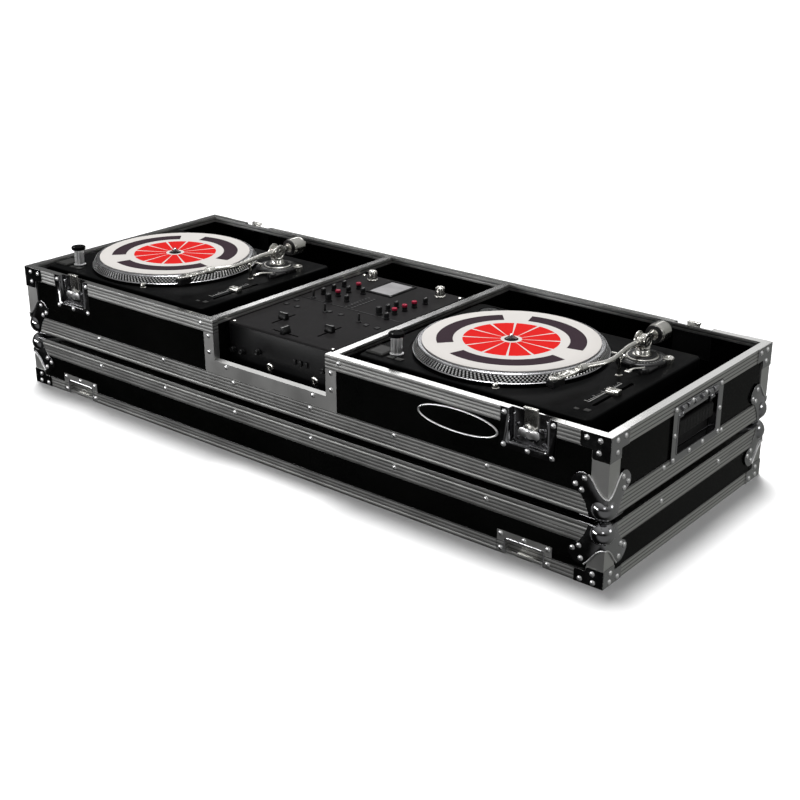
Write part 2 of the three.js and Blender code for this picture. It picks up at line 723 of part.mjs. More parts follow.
// The frame round the mixer's notch: a sill channel, two posts and their rivets
function notchFrame() {
  const low = trayBase + baseFlange;
  const sill = join(
    block([notchLeft - edgingThickness, notchRight + edgingThickness],
      [-halfDepth, -lipInnerY], [sillHeight - edgingThickness, sillHeight]),
    block([notchLeft - postFlange, notchRight + postFlange], [-halfDepth, -panelOuterY], [low, sillHeight]),
    block([notchLeft - edgingThickness, notchRight + edgingThickness],
      [-panelInnerY, -lipInnerY], [sillHeight - innerLip, sillHeight]),
  );
  const posts = [];
  const rivets = [];
  for (const [edge, sx] of [[notchLeft, -1], [notchRight, 1]]) {
    posts.push(block([edge, edge + sx * edgingThickness], [-halfDepth, -lipInnerY],
      [sillHeight - edgingThickness, rimHeight]));
    posts.push(block([edge, edge + sx * postFlange], [-halfDepth, -panelOuterY], [sillHeight, rimHeight]));
    const middle = edge + sx * postFlange / 2;
    rivets.push(rivetOnY(middle, -halfDepth, rimHeight - rimFlange - rivetInset, -1));
    rivets.push(rivetOnY(middle, -halfDepth, sillHeight + rivetInset + rivetRadius * 2, -1));
    rivets.push(rivetOnY(edge - sx * (postFlange + rivetInset), -halfDepth, sillHeight - rivetInset, -1));
    rivets.push(rivetOnY(edge + sx * (postFlange + rivetInset), -halfDepth, rimHeight - rivetInset - rivetRadius, -1));
  }
  return join(sill, ...posts, ...rivets);
}

// Latches: dish, hook and butterfly key
const latchBackY = panelInnerY + latchWall;
const hookY = latchBackY + fitGap;
const keyY = hookY + hookThickness + fitGap;
const keyZ = rimHeight - keyDrop;

function makeLatch(place) {
  const { name, x, sy } = place;
  const latch = new THREE.Group();
  const dish = pocketPlate(place, rimHeight, 1, latchPlateHeight, latchPocketDrop);
  latch.add(node(`latch_dish_${name}`, dish, materials.chrome()));

  const hookTop = rimHeight + hookRise;
  const hook = join(
    block([x - hookWidth / 2, x + hookWidth / 2], [sy * hookY, sy * (hookY + hookThickness)],
      [hookTop - hookLength, hookTop]),
    block([x - hookWidth / 2, x + hookWidth / 2], [sy * hookY, sy * (hookY + hookThickness + hookLipReach)],
      [hookTop - hookLipHeight, hookTop]),
  );
  latch.add(node(`latch_hook_${name}`, hook, materials.chrome()));

  const outline = [
    [-keyWingSpan / 2, 0.3 * keyWingHeight],
    [-keyWingSpan / 2, -0.3 * keyWingHeight],
    [-0.38 * keyWingSpan, -keyWingHeight / 2],
    [-0.14 * keyWingSpan, -0.3 * keyWingHeight],
    [0.14 * keyWingSpan, -0.3 * keyWingHeight],
    [0.38 * keyWingSpan, -keyWingHeight / 2],
    [keyWingSpan / 2, -0.3 * keyWingHeight],
    [keyWingSpan / 2, 0.3 * keyWingHeight],
    [0.38 * keyWingSpan, keyWingHeight / 2],
    [0.14 * keyWingSpan, 0.3 * keyWingHeight],
    [-0.14 * keyWingSpan, 0.3 * keyWingHeight],
    [-0.38 * keyWingSpan, keyWingHeight / 2],
  ];
  const boss = new THREE.CylinderGeometry(keyBossRadius, keyBossRadius, keyBossDepth, 16);
  boss.translate(0, keyBossDepth / 2, 0);
  const key = join(
    placed(boss, (u, v, w) => [u, sy * v, w]),
    prism(outline, keyWingThickness, (u, v, w) => [u, sy * (keyBossDepth - fitGap + w), v]),
  );
  latch.add(node(`latch_key_${name}`, key, materials.chrome(), [x, sy * keyY, keyZ]));
  return latch;
}

// Recessed end handle: dish with its pocket, and the sprung grip
const handleLow = trayBase + handlePocketLow;
const handleHigh = trayBase + handlePocketHigh;
const handleFace = halfLength + handlePlateThickness;
const handleBack = halfLength - handlePocketDepth;
const handleYs = (width) => [handleShift - width / 2, handleShift + width / 2];

function handleWallCut(sx) {
  const room = handlePlateThickness + fitGap;
  return block([sx * (panelInnerX - cutOverrun), sx * (halfLength + cutOverrun)],
    handleYs(handlePocketWidth + 2 * room), [handleLow - room, handleHigh + room]);
}

function makeHandle(end, sx) {
  const handle = new THREE.Group();
  const wall = handlePlateThickness;
  const plate = block([sx * halfLength, sx * handleFace], handleYs(handlePlateWidth),
    [trayBase + handlePlateLow, trayBase + handlePlateHigh]);
  const shell = block([sx * (handleBack - wall), sx * handleFace], handleYs(handlePocketWidth + 2 * wall),
    [handleLow - wall, handleHigh + wall]);
  const hollow = block([sx * handleBack, sx * (handleFace + cutOverrun)], handleYs(handlePocketWidth),
    [handleLow, handleHigh]);
  const rivets = [];
  for (const edge of [-1, 1]) {
    const y = handleShift + edge * (handlePlateWidth + handlePocketWidth + 2 * wall) / 4;
    for (const z of [trayBase + handlePlateLow + rivetInset, (handleLow + handleHigh) / 2,
      trayBase + handlePlateHigh - rivetInset]) {
      rivets.push(rivetOnX(sx * handleFace, y, z, sx));
    }
    for (const z of [trayBase + handlePlateLow + rivetInset, trayBase + handlePlateHigh - rivetInset]) {
      rivets.push(rivetOnX(sx * handleFace, handleShift + edge * handlePocketWidth / 6, z, sx));
    }
  }
  handle.add(node(`handle_dish_${end}`, join(cut(join(plate, shell), hollow), ...rivets), materials.chrome()));

  const rod = new THREE.CylinderGeometry(gripRodRadius, gripRodRadius, handlePocketWidth - 2 * fitGap, 12);
  const barTop = -gripRodRadius - gripRodToBar;
  const barLow = barTop - gripBarHeight;
  const barShape = [
    [-gripBarThickness / 2, barTop - gripBarThickness / 3],
    [-gripBarThickness / 4, barTop],
    [gripBarThickness / 4, barTop],
    [gripBarThickness / 2, barTop - gripBarThickness / 3],
    [gripBarThickness / 2, barLow + gripBarThickness / 3],
    [gripBarThickness / 4, barLow],
    [-gripBarThickness / 4, barLow],
    [-gripBarThickness / 2, barLow + gripBarThickness / 3],
  ];
  const bar = prism(barShape, gripBarLength, (u, v, w) => [u, w - gripBarLength / 2, v]);
  const arms = [-1, 1].map((edge) => block(
    [-gripArmThickness / 2, gripArmThickness / 2],
    [edge * gripBarLength / 2, edge * (gripBarLength / 2 - gripArmWidth)],
    [0, barTop - gripBarThickness / 3],
  ));
  const pivotX = sx * (halfLength - handlePocketDepth / 2 + handlePlateThickness);
  handle.add(node(`handle_grip_${end}`, join(solidOf(rod), bar, ...arms), materials.rubber(),
    [pivotX, handleShift, handleHigh - gripPivotDrop]));
  return handle;
}

// Turntable, in its own frame: the spindle's axis is x = y = 0 and z = 0 is the plinth's top face
const plinthLeft = -spindleFromLeft;
const plinthRight = plinthLeft + plinthWidth;
const plinthFront = -plinthDepth / 2;
const plinthBack = plinthDepth / 2;
const plinthLow = footHeight - turntableHeight;
const platterTop = platterLift + platterThickness;

function roundedSlab(x0, x1, y0, y1, radius, low, high, bevel) {
  const shape = new THREE.Shape();
  const [a, b, c, d] = [x0 + bevel, x1 - bevel, y0 + bevel, y1 - bevel];
  shape.moveTo(a + radius, c);
  shape.lineTo(b - radius, c);
  shape.absarc(b - radius, c + radius, radius, -Math.PI / 2, 0);
  shape.absarc(b - radius, d - radius, radius, 0, Math.PI / 2);
  shape.absarc(a + radius, d - radius, radius, Math.PI / 2, Math.PI);
  shape.absarc(a + radius, c + radius, radius, Math.PI, 1.5 * Math.PI);
  const geometry = new THREE.ExtrudeGeometry(shape, {
    depth: high - low - 2 * bevel,
    curveSegments: 4,
    bevelEnabled: bevel > 0,
    bevelSize: bevel,
    bevelThickness: bevel,
    bevelSegments: 1,
  });
  geometry.translate(0, 0, low + bevel);
  return solidOf(geometry);
}

function plinthSolid() {
  const split = -cabinetHeight;
  const body = join(
    roundedSlab(plinthLeft, plinthRight, plinthFront, plinthBack, plinthCornerRadius, split, 0, plinthBevel),
    roundedSlab(plinthLeft + baseInset, plinthRight - baseInset, plinthFront + baseInset,
      plinthBack - baseInset, plinthCornerRadius, plinthLow, split + plinthBevel, 0),
  );
  const feet = [];
  for (const x of [plinthLeft + footInset, plinthRight - footInset]) {
    for (const y of [plinthFront + footInset, plinthBack - footInset]) {
      feet.push(drum(footRadius, plinthLow - footHeight, plinthLow + footHeight, 16, x, y));
    }
  }
  const hub = drum(hubRadius, -plinthBevel, platterLift - fitGap, 24);
  const pillar = join(
    drum(pillarRadius, -plinthBevel, pillarHeight, 16, pillarX, pillarY),
    drum(pillarCapRadius, pillarHeight - pillarCapHeight, pillarHeight, 16, pillarX, pillarY),
  );
  const lamp = drum(lampRadius, -plinthBevel, lampHeight, 12, lampX, lampY);
  const armBase = join(
    drum(armBaseRadius, -plinthBevel, armBaseHeight, 32, armPivotX, armPivotY),
    drum(armRingRadius, 0, armRingHeight, 24, armPivotX, armPivotY),
    drum(armPostRadius, 0, armPostTop, 20, armPivotX, armPivotY),
    drum(armRestRadius, -plinthBevel, armHeight - armTubeRadius - fitGap, 12, armRestX, armRestY),
    drum(antiSkateRadius, -plinthBevel, antiSkateHeight, 16, antiSkateX, antiSkateY),
  );
  const startWell = block(
    [startButtonX - startButtonWidth / 2 - fitGap, startButtonX + startButtonWidth / 2 + fitGap],
    [startButtonY - startButtonDepth / 2 - fitGap, startButtonY + startButtonDepth / 2 + fitGap],
    [-startButtonWell, cutOverrun],
  );
  const pitchSlot = block([pitchX - pitchSlotWidth / 2, pitchX + pitchSlotWidth / 2],
    [pitchY - pitchSlotLength / 2, pitchY + pitchSlotLength / 2], [-pitchSlotDepth, cutOverrun]);
  return cut(join(body, ...feet, hub, pillar, lamp, armBase), startWell, pitchSlot);
}

function platterSolid() {
  const rimTop = platterLift + platterRimHeight;
  return turned([
    [0, platterLift],
    [platterRadius, platterLift],
    [platterRadius, rimTop],
    [platterRadius - platterRimHeight, rimTop],
    [platterRadius - platterShoulder, platterTop - platterRimHeight],
    [platterRadius - platterShoulder - platterRimHeight, platterTop],
    [spindleRadius, platterTop],
    [spindleRadius, platterTop + spindleHeight - spindleRadius / 2],
    [0, platterTop + spindleHeight],
  ], 48);
}

function slipmatSolid() {
  const low = platterTop + fitGap;
  const hole = spindleRadius + fitGap;
  return turned([[hole, low], [slipmatRadius, low], [slipmatRadius, low + slipmatThickness],
    [hole, low + slipmatThickness], [hole, low]], 48);
}

// The yoke that turns on the post and carries the arm between its round cheeks
function gimbalSolid() {
  const low = armPostTop + fitGap - armHeight;
  const half = armBlockWidth / 2 + fitGap;
  const cheeks = [-1, 1].map((edge) => {
    const cheek = new THREE.CylinderGeometry(gimbalRadius, gimbalRadius, gimbalCheek, 20);
    cheek.rotateZ(Math.PI / 2);
    cheek.translate(edge * (half + gimbalCheek / 2), 0, 0);
    return solidOf(cheek);
  });
  return join(drum(armPostRadius, low, low + gimbalFloor, 20), ...cheeks);
}

// The arm about its own pivot: pivot block, S shaped tube, counterweight, headshell and cartridge
function tonearmSolid() {
  const points = armPathShares.map(([x, y]) => new THREE.Vector3(x * armLength, y * armLength, 0));
  const section = new THREE.Shape();
  section.absarc(0, 0, armTubeRadius, 0, 2 * Math.PI);
  const tube = new THREE.ExtrudeGeometry(section, {
    steps: 18,
    curveSegments: 4,
    extrudePath: new THREE.CatmullRomCurve3(points),
  });
  const pivotBlock = block([-armBlockWidth / 2, armBlockWidth / 2], [-armBlockLength / 2, armBlockLength / 2],
    [-armBlockHeight / 2, armBlockHeight / 2]);
  const stub = new THREE.CylinderGeometry(armStubRadius, armStubRadius, armStubLength, 12);
  stub.translate(0, armStubLength / 2, 0);
  const weight = new THREE.CylinderGeometry(counterweightRadius, counterweightRadius, counterweightLength, 24);
  weight.translate(0, counterweightGap + counterweightLength / 2, 0);

  const tip = points[points.length - 1];
  const cartridgeLow = platterTop + fitGap + slipmatThickness + stylusClearance - armHeight;
  const collar = new THREE.CylinderGeometry(collarRadius, collarRadius, collarLength, 12);
  collar.translate(0, -collarLength / 2, 0);
  const headshell = new THREE.BoxGeometry(headshellWidth, headshellLength, headshellThickness);
  headshell.translate(0, fitGap - collarLength - headshellLength / 2, 0);
  const cartridge = new THREE.BoxGeometry(cartridgeWidth, cartridgeLength, -cartridgeLow);
  cartridge.translate(0, cartridgeLength / 2 - collarLength - headshellLength, cartridgeLow / 2);
  for (const piece of [collar, headshell, cartridge]) {
    piece.rotateZ(-headshellTurn);
    piece.translate(tip.x, tip.y, 0);
  }
  return join(...[tube, stub, weight, collar, headshell, cartridge].map(solidOf), pivotBlock);
}

function startButtonSolid() {
  return block([-startButtonWidth / 2, startButtonWidth / 2], [-startButtonDepth / 2, startButtonDepth / 2],
    [-startButtonSkirt, startButtonProud]);
}

function pitchSliderSolid() {
  const stemHalf = pitchSlotWidth / 2 - fitGap;
  return join(
    block([-pitchKnobWidth / 2, pitchKnobWidth / 2], [-pitchKnobDepth / 2, pitchKnobDepth / 2],
      [fitGap, pitchKnobHeight]),
    block([-stemHalf, stemHalf], [-pitchKnobDepth / 3, pitchKnobDepth / 3],
      [fitGap - pitchSlotDepth + fitGap, pitchKnobHeight / 2]),
  );
}

function makeTurntable(side, spindleX) {
  const turntable = new THREE.Group();
  turntable.position.set(spindleX, frontBayGap - panelInnerY + plinthDepth / 2, foamTop + turntableHeight);
  const arm = [armPivotX, armPivotY, armHeight];
  turntable.add(
    node(`${side}_plinth`, plinthSolid(), materials.cabinet()),
    node(`${side}_platter`, platterSolid(), materials.platter()),
    node(`${side}_slipmat`, slipmatSolid(), materials.felt()),
    node(`${side}_gimbal`, gimbalSolid(), materials.armMetal(), arm),
    node(`${side}_tonearm`, tonearmSolid(), materials.armMetal(), arm),
    node(`${side}_start_button`, startButtonSolid(), materials.lightKey(), [startButtonX, startButtonY, 0]),
    node(`${side}_pitch_slider`, pitchSliderSolid(), materials.armMetal(), [pitchX, pitchY, 0]),
  );
  return turntable;
}

// Mixer, in its own frame: x = y = 0 is its middle and z = 0 is its top face
function knobSolid(radius, height) {
  const cap = turned([
    [0, fitGap],
    [radius, fitGap],
    [radius, knobSkirtHeight],
    [0.82 * radius, knobSkirtHeight + fitGap],
    [0.76 * radius, height],
    [0, height],
  ], 20);
  const pointer = block([-0.09 * radius, 0.09 * radius], [0.5 * radius, 0.96 * radius],
    [knobSkirtHeight / 2, height]);
  return join(cap, pointer);
}

function faderCapSolid() {
  const stemHalf = faderSlotWidth / 2 - fitGap;
  const half = faderCapLength / 2;
  const outline = [
    [-faderCapWidth / 2, fitGap],
    [faderCapWidth / 2, fitGap],
    [faderCapWidth / 2, 0.35 * faderCapHeight],
    [0.3 * faderCapWidth, faderCapHeight],
    [0, 0.9 * faderCapHeight],
    [-0.3 * faderCapWidth, faderCapHeight],
    [-faderCapWidth / 2, 0.35 * faderCapHeight],
  ];
  return join(
    prism(outline, faderCapLength, (u, v, w) => [w - half, u, v]),
    block([-stemHalf, stemHalf], [-faderStemLength / 2, faderStemLength / 2],
      [2 * fitGap - faderSlotDepth, faderCapHeight / 2]),
  );
}

function makeMixer() {
  const mixer = new THREE.Group();
  const centreX = leftDividerX + panelThickness / 2 + mixerLeftGap + mixerWidth / 2;
  const centreY = mixerFrontGap - panelInnerY + mixerDepth / 2;
  mixer.position.set(centreX, centreY, foamTop + mixerHeight);
  const [halfX, halfY] = [mixerWidth / 2, mixerDepth / 2];
  const body = roundedSlab(-halfX, halfX, -halfY, halfY, mixerCornerRadius, footHeight - mixerHeight, 0, mixerBevel);
  const feet = [];
  for (const sx of [-1, 1]) {
    for (const sy of [-1, 1]) {
      feet.push(drum(footRadius / 2, -mixerHeight, footHeight + mixerBevel - mixerHeight, 16,
        sx * (halfX - footRadius), sy * (halfY - footRadius)));
    }
  }
  const slotRoom = [-faderSlotDepth, cutOverrun];
  const slots = [block(
    [-faderSlotLength / 2, faderSlotLength / 2],
    [crossfaderY - faderSlotWidth / 2, crossfaderY + faderSlotWidth / 2], slotRoom)];
  for (const sx of [-1, 1]) {
    slots.push(block([sx * lineFaderX - faderSlotWidth / 2, sx * lineFaderX + faderSlotWidth / 2],
      [lineFaderY - faderSlotLength / 2, lineFaderY + faderSlotLength / 2], slotRoom));
  }
  mixer.add(node('mixer_body', cut(join(body, ...feet), ...slots), materials.mixerPaint()));

  const crossfader = node('crossfader', faderCapSolid(), materials.capPlastic(), [0, crossfaderY, 0]);
  crossfader.rotation.z = Math.PI / 2;
  mixer.add(crossfader);
  for (const [side, sx] of Object.entries(endName)) {
    mixer.add(
      node(`line_fader_${side}`, faderCapSolid(), materials.capPlastic(), [sx * lineFaderX, lineFaderY, 0]),
      node(`level_knob_${side}`, knobSolid(levelKnobRadius, levelKnobHeight), materials.armMetal(),
        [sx * levelKnobX, levelKnobY, 0]),
      node(`eq_knob_${side}`, knobSolid(eqKnobRadius, eqKnobHeight), materials.capPlastic(),
        [sx * eqKnobX, eqKnobY, 0]),
    );
  }
  return mixer;
}

const coffinCase = new THREE.Group();
coffinCase.add(makeLid(), makeTrayShell(), makeTrayEdging());
for (const { name, sx, sy } of corners) {
  coffinCase.add(node(`tray_ball_corner_${name}`, ballCorner(sx, sy, trayBase, -1), materials.chrome()));
}
coffinCase.add(...latchPlaces.map((place) => makeLatch(place)));
for (const [end, sx] of Object.entries(endName)) {
  coffinCase.add(makeHandle(end, sx));
}
coffinCase.add(
  makeTurntable('left', leftBayGap - panelInnerX + spindleFromLeft),
  makeTurntable('right', rightDividerX + panelThickness / 2 + rightBayGap + spindleFromLeft),
  makeMixer(),
);

export default coffinCase;
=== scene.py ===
import json
import math
import bpy
from mathutils import Matrix, Vector


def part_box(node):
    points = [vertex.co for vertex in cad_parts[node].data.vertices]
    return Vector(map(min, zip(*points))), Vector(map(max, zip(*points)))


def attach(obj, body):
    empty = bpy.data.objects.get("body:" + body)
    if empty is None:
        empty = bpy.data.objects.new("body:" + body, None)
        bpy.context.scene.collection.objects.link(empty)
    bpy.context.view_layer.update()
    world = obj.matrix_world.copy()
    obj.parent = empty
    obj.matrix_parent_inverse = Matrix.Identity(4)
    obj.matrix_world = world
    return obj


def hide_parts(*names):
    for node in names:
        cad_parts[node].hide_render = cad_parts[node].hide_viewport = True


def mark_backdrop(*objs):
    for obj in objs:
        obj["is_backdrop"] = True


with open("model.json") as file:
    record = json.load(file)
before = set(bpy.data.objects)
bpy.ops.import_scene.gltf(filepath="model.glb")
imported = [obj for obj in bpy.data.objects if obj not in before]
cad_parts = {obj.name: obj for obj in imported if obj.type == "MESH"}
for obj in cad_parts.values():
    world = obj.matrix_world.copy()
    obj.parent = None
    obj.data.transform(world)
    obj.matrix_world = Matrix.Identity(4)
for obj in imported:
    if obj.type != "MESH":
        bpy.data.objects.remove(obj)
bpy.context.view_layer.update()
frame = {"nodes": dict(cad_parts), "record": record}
scene = bpy.context.scene
bodyOf = {node: body for body, nodes in frame["record"]["behaviour"]["bodies"].items() for node in nodes}
print("dj case: CAD frame loaded,", len(bodyOf), "nodes")


# Selecting and shaping, all sizes in the dictionaries below are millimetres

def deselectAll():
    if bpy.context.mode != "OBJECT":
        bpy.ops.object.mode_set(mode="OBJECT")
    bpy.ops.object.select_all(action="DESELECT")


def pick(piece):
    deselectAll()
    piece.select_set(True)
    bpy.context.view_layer.objects.active = piece


def settle(name):
    piece = bpy.context.active_object
    piece.name = piece.data.name = name
    bpy.ops.object.transform_apply(location=True, rotation=True, scale=True)
    return piece


def startBox(name, low, high):
    deselectAll()
    middle = [(a + b) / 2000 for a, b in zip(low, high)]
    size = [abs(b - a) / 1000 for a, b in zip(low, high)]
    bpy.ops.mesh.primitive_cube_add(size=1, location=middle, scale=size)
    return settle(name)


turnTo = {"X": (0, math.pi / 2, 0), "Y": (math.pi / 2, 0, 0), "Z": (0, 0, 0)}


def startDrum(name, radius, middle, length, axis="Z", sides=32):
    deselectAll()
    bpy.ops.mesh.primitive_cylinder_add(vertices=sides, radius=radius / 1000, depth=length / 1000,
                                        location=[v / 1000 for v in middle], rotation=turnTo[axis])
    return settle(name)


def startTorus(name, middle, big, small, axis="Z", sides=48, around=10):
    deselectAll()
    bpy.ops.mesh.primitive_torus_add(location=[v / 1000 for v in middle], rotation=turnTo[axis],
                                     major_radius=big / 1000, minor_radius=small / 1000,
                                     major_segments=sides, minor_segments=around)
    return settle(name)


def startBall(name, middle, radius, sides=32, rings=16):
    deselectAll()
    bpy.ops.mesh.primitive_uv_sphere_add(segments=sides, ring_count=rings, radius=radius / 1000,
                                         location=[v / 1000 for v in middle])
    return settle(name)


def selectFaces(piece, test):  # test gets a face's middle in millimetres and its normal
    pick(piece)
    bpy.ops.object.mode_set(mode="EDIT")
    bpy.ops.mesh.select_mode(type="FACE")
    bpy.ops.mesh.select_all(action="DESELECT")
    bpy.ops.object.mode_set(mode="OBJECT")
    for face in piece.data.polygons:
        face.select = bool(test(face.center * 1000, face.normal))
    bpy.ops.object.mode_set(mode="EDIT")


def selectEdges(piece, test):  # test gets an edge's two ends in millimetres
    pick(piece)
    bpy.ops.object.mode_set(mode="EDIT")
    bpy.ops.mesh.select_mode(type="EDGE")
    bpy.ops.mesh.select_all(action="DESELECT")
    bpy.ops.object.mode_set(mode="OBJECT")
    corner = piece.data.vertices
    for edge in piece.data.edges:
        edge.select = bool(test(corner[edge.vertices[0]].co * 1000, corner[edge.vertices[1]].co * 1000))
    bpy.ops.object.mode_set(mode="EDIT")


def leaveEdit():
    bpy.ops.object.mode_set(mode="OBJECT")


def push(piece, test, inset=0, depth=0):  # insets the chosen faces, then moves them along their normal
    selectFaces(piece, test)
    if inset:
        bpy.ops.mesh.inset(thickness=inset / 1000, use_even_offset=True)
    if depth:
        bpy.ops.mesh.extrude_region_shrink_fatten(TRANSFORM_OT_shrink_fatten={"value": depth / 1000})
    leaveEdit()


def bevelSome(piece, test, width, segments=3):
    selectEdges(piece, test)
    bpy.ops.mesh.bevel(offset=width / 1000, segments=segments, affect="EDGES", clamp_overlap=True)
    leaveEdit()


def applied(piece, kind, **settings):
    pick(piece)
    modifier = piece.modifiers.new(kind.lower(), kind)
    for key, value in settings.items():
        setattr(modifier, key, value)
    bpy.ops.object.modifier_apply(modifier=modifier.name)
    return piece


def roundEdges(piece, width, segments=2, angle=30):
    applied(piece, "BEVEL", width=width / 1000, segments=segments, limit_method="ANGLE",
            angle_limit=math.radians(angle), use_clamp_overlap=True)
    return piece


def smooth(piece, angle=35):
    pick(piece)
    bpy.ops.object.shade_smooth_by_angle(angle=math.radians(angle))
    return piece


def evenShade(piece, angle=35):  # smooth, with flat faces kept flat right up to their rounded edges
    return applied(smooth(piece, angle), "WEIGHTED_NORMAL", keep_sharp=True, weight=50)


def cutWith(piece, tool, operation="DIFFERENCE"):
    applied(piece, "BOOLEAN", object=tool, operation=operation, solver="EXACT")
    bpy.data.objects.remove(tool)
    return piece


def twin(piece, name, matrix=Matrix.Identity(4)):  # a copy with its own mesh, placed in that mesh
    copied = piece.copy()
    copied.data = piece.data.copy()
    copied.name = copied.data.name = name
    scene.collection.objects.link(copied)
    copied.data.transform(matrix)
    if matrix.determinant() < 0:
        copied.data.flip_normals()
    return copied


def shift(x, y, z):
    return Matrix.Translation((x / 1000, y / 1000, z / 1000))


def facing(x, y, z, normal, turn=0):  # a place whose local z points along normal
    return shift(x, y, z) @ Vector((0, 0, 1)).rotation_difference(Vector(normal)).to_matrix().to_4x4() \
        @ Matrix.Rotation(turn, 4, "Z")


def joined(name, pieces):
    deselectAll()
    for piece in pieces:
        piece.select_set(True)
    bpy.context.view_layer.objects.active = pieces[0]
    if len(pieces) > 1:
        bpy.ops.object.join()
    pieces[0].name = pieces[0].data.name = name
    return pieces[0]


def drop(piece):
    bpy.data.objects.remove(piece)


def startOutline(name, points, thickness, across, up, out, corner):  # a plate cut to an outline, thickness towards out
    deselectAll()
    bpy.ops.mesh.primitive_circle_add(vertices=len(points), radius=1, fill_type="NGON", location=(0, 0, 0))
    piece = bpy.context.active_object
    for vertex, (u, v) in zip(piece.data.vertices, points):
        vertex.co = (u / 1000, v / 1000, 0)
    bpy.ops.object.mode_set(mode="EDIT")
    bpy.ops.mesh.select_all(action="SELECT")
    bpy.ops.mesh.extrude_region_move(TRANSFORM_OT_translate={"value": (0, 0, thickness / 1000)})
    bpy.ops.mesh.select_all(action="SELECT")
    bpy.ops.mesh.normals_make_consistent(inside=False)
    leaveEdit()
    place = Matrix((across, up, out)).transposed().to_4x4()
    place.translation = Vector(corner) / 1000
    piece.data.transform(place)
    if place.determinant() < 0:
        piece.data.flip_normals()
    piece.name = piece.data.name = name
    return piece


def startTurned(name, profile, middle=(0, 0, 0), steps=64):  # spins an (outward, up) outline about an upright axis
    deselectAll()
    bpy.ops.mesh.primitive_circle_add(vertices=len(profile), radius=1, fill_type="NOTHING", location=(0, 0, 0))
    piece = bpy.context.active_object
    for vertex, (r, z) in zip(piece.data.vertices, profile):
        vertex.co = (r / 1000, 0, z / 1000)
    bpy.ops.object.mode_set(mode="EDIT")
    bpy.ops.mesh.select_all(action="SELECT")
    bpy.ops.mesh.spin(steps=steps, angle=2 * math.pi, center=(0, 0, 0), axis=(0, 0, 1))
    bpy.ops.mesh.select_all(action="SELECT")
    bpy.ops.mesh.remove_doubles(threshold=0.00001)
    bpy.ops.mesh.dissolve_degenerate(threshold=0.00001)
    bpy.ops.mesh.normals_make_consistent(inside=False)
    leaveEdit()
    piece.data.transform(shift(*middle))
    piece.name = piece.data.name = name
    return piece


def startTube(name, points, radius, closed=False, sides=8, soft=True):  # a round bar or wire along points
    deselectAll()
    line = bpy.data.curves.new(name, "CURVE")
    line.dimensions = "3D"
    line.bevel_depth = radius / 1000
    line.bevel_resolution = max(1, sides // 4)
    line.use_fill_caps = True
    line.resolution_u = 6
    spline = line.splines.new("NURBS" if soft else "POLY")
    spline.points.add(len(points) - 1)
    for spot, point in zip(spline.points, points):
        spot.co = (*[v / 1000 for v in point], 1)
    spline.use_cyclic_u = closed
    if soft:
        spline.order_u = 3
        spline.use_endpoint_u = not closed
    piece = bpy.data.objects.new(name, line)
    scene.collection.objects.link(piece)
    pick(piece)
    bpy.ops.object.convert(target="MESH")
    return bpy.context.active_object


def ringOf(piece, count, middle, turn=None):  # copies a piece round an upright axis through middle
    deselectAll()
    bpy.ops.object.empty_add(location=(0, 0, 0), rotation=(0, 0, turn or 2 * math.pi / count))
    guide = bpy.context.active_object
    piece.data.transform(shift(*middle).inverted())
    applied(piece, "ARRAY", count=count, use_relative_offset=False, use_object_offset=True, offset_object=guide)
    piece.data.transform(shift(*middle))
    drop(guide)
    return piece


def squashed(piece, x=1, y=1, z=1):
    pick(piece)
    bpy.ops.transform.resize(value=(x, y, z))
    bpy.ops.object.transform_apply(location=True, rotation=True, scale=True)
    return piece


def slicedOff(piece, spot, away):  # bisects the piece and keeps the side that away points from
    pick(piece)
    bpy.ops.object.mode_set(mode="EDIT")
    bpy.ops.mesh.select_all(action="SELECT")
    bpy.ops.mesh.bisect(plane_co=[v / 1000 for v in spot], plane_no=away, use_fill=True, clear_outer=True)
    leaveEdit()
    return piece


def copyOfNode(node, name, merge=0.02):
    copied = bpy.data.objects.new(name, frame["nodes"][node].data.copy())
    copied.data.name = name
    copied.data.materials.clear()
    scene.collection.objects.link(copied)
    pick(copied)
    bpy.ops.object.mode_set(mode="EDIT")
    bpy.ops.mesh.select_all(action="SELECT")
    bpy.ops.mesh.remove_doubles(threshold=merge / 1000)
    bpy.ops.mesh.dissolve_limited(angle_limit=math.radians(0.6))
    bpy.ops.mesh.select_all(action="DESELECT")
    leaveEdit()
    return copied


def finished(piece, body, material, slot, *nodes):
    piece.data.materials.clear()
    piece.data.materials.append(material)
    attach(piece, body)
    if nodes:
        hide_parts(*nodes)
    return piece


# Finishes. Groups hold the effects that several finishes share.

def newGroup(name, inputs, outputs):
    group = bpy.data.node_groups.new(name, "ShaderNodeTree")
    for title, kind, value in inputs:
        socket = group.interface.new_socket(title, in_out="INPUT", socket_type=kind)
        if value is not None:
            socket.default_value = value
    for title, kind in outputs:
        group.interface.new_socket(title, in_out="OUTPUT", socket_type=kind)
    return group, group.nodes.new("NodeGroupInput"), group.nodes.new("NodeGroupOutput")


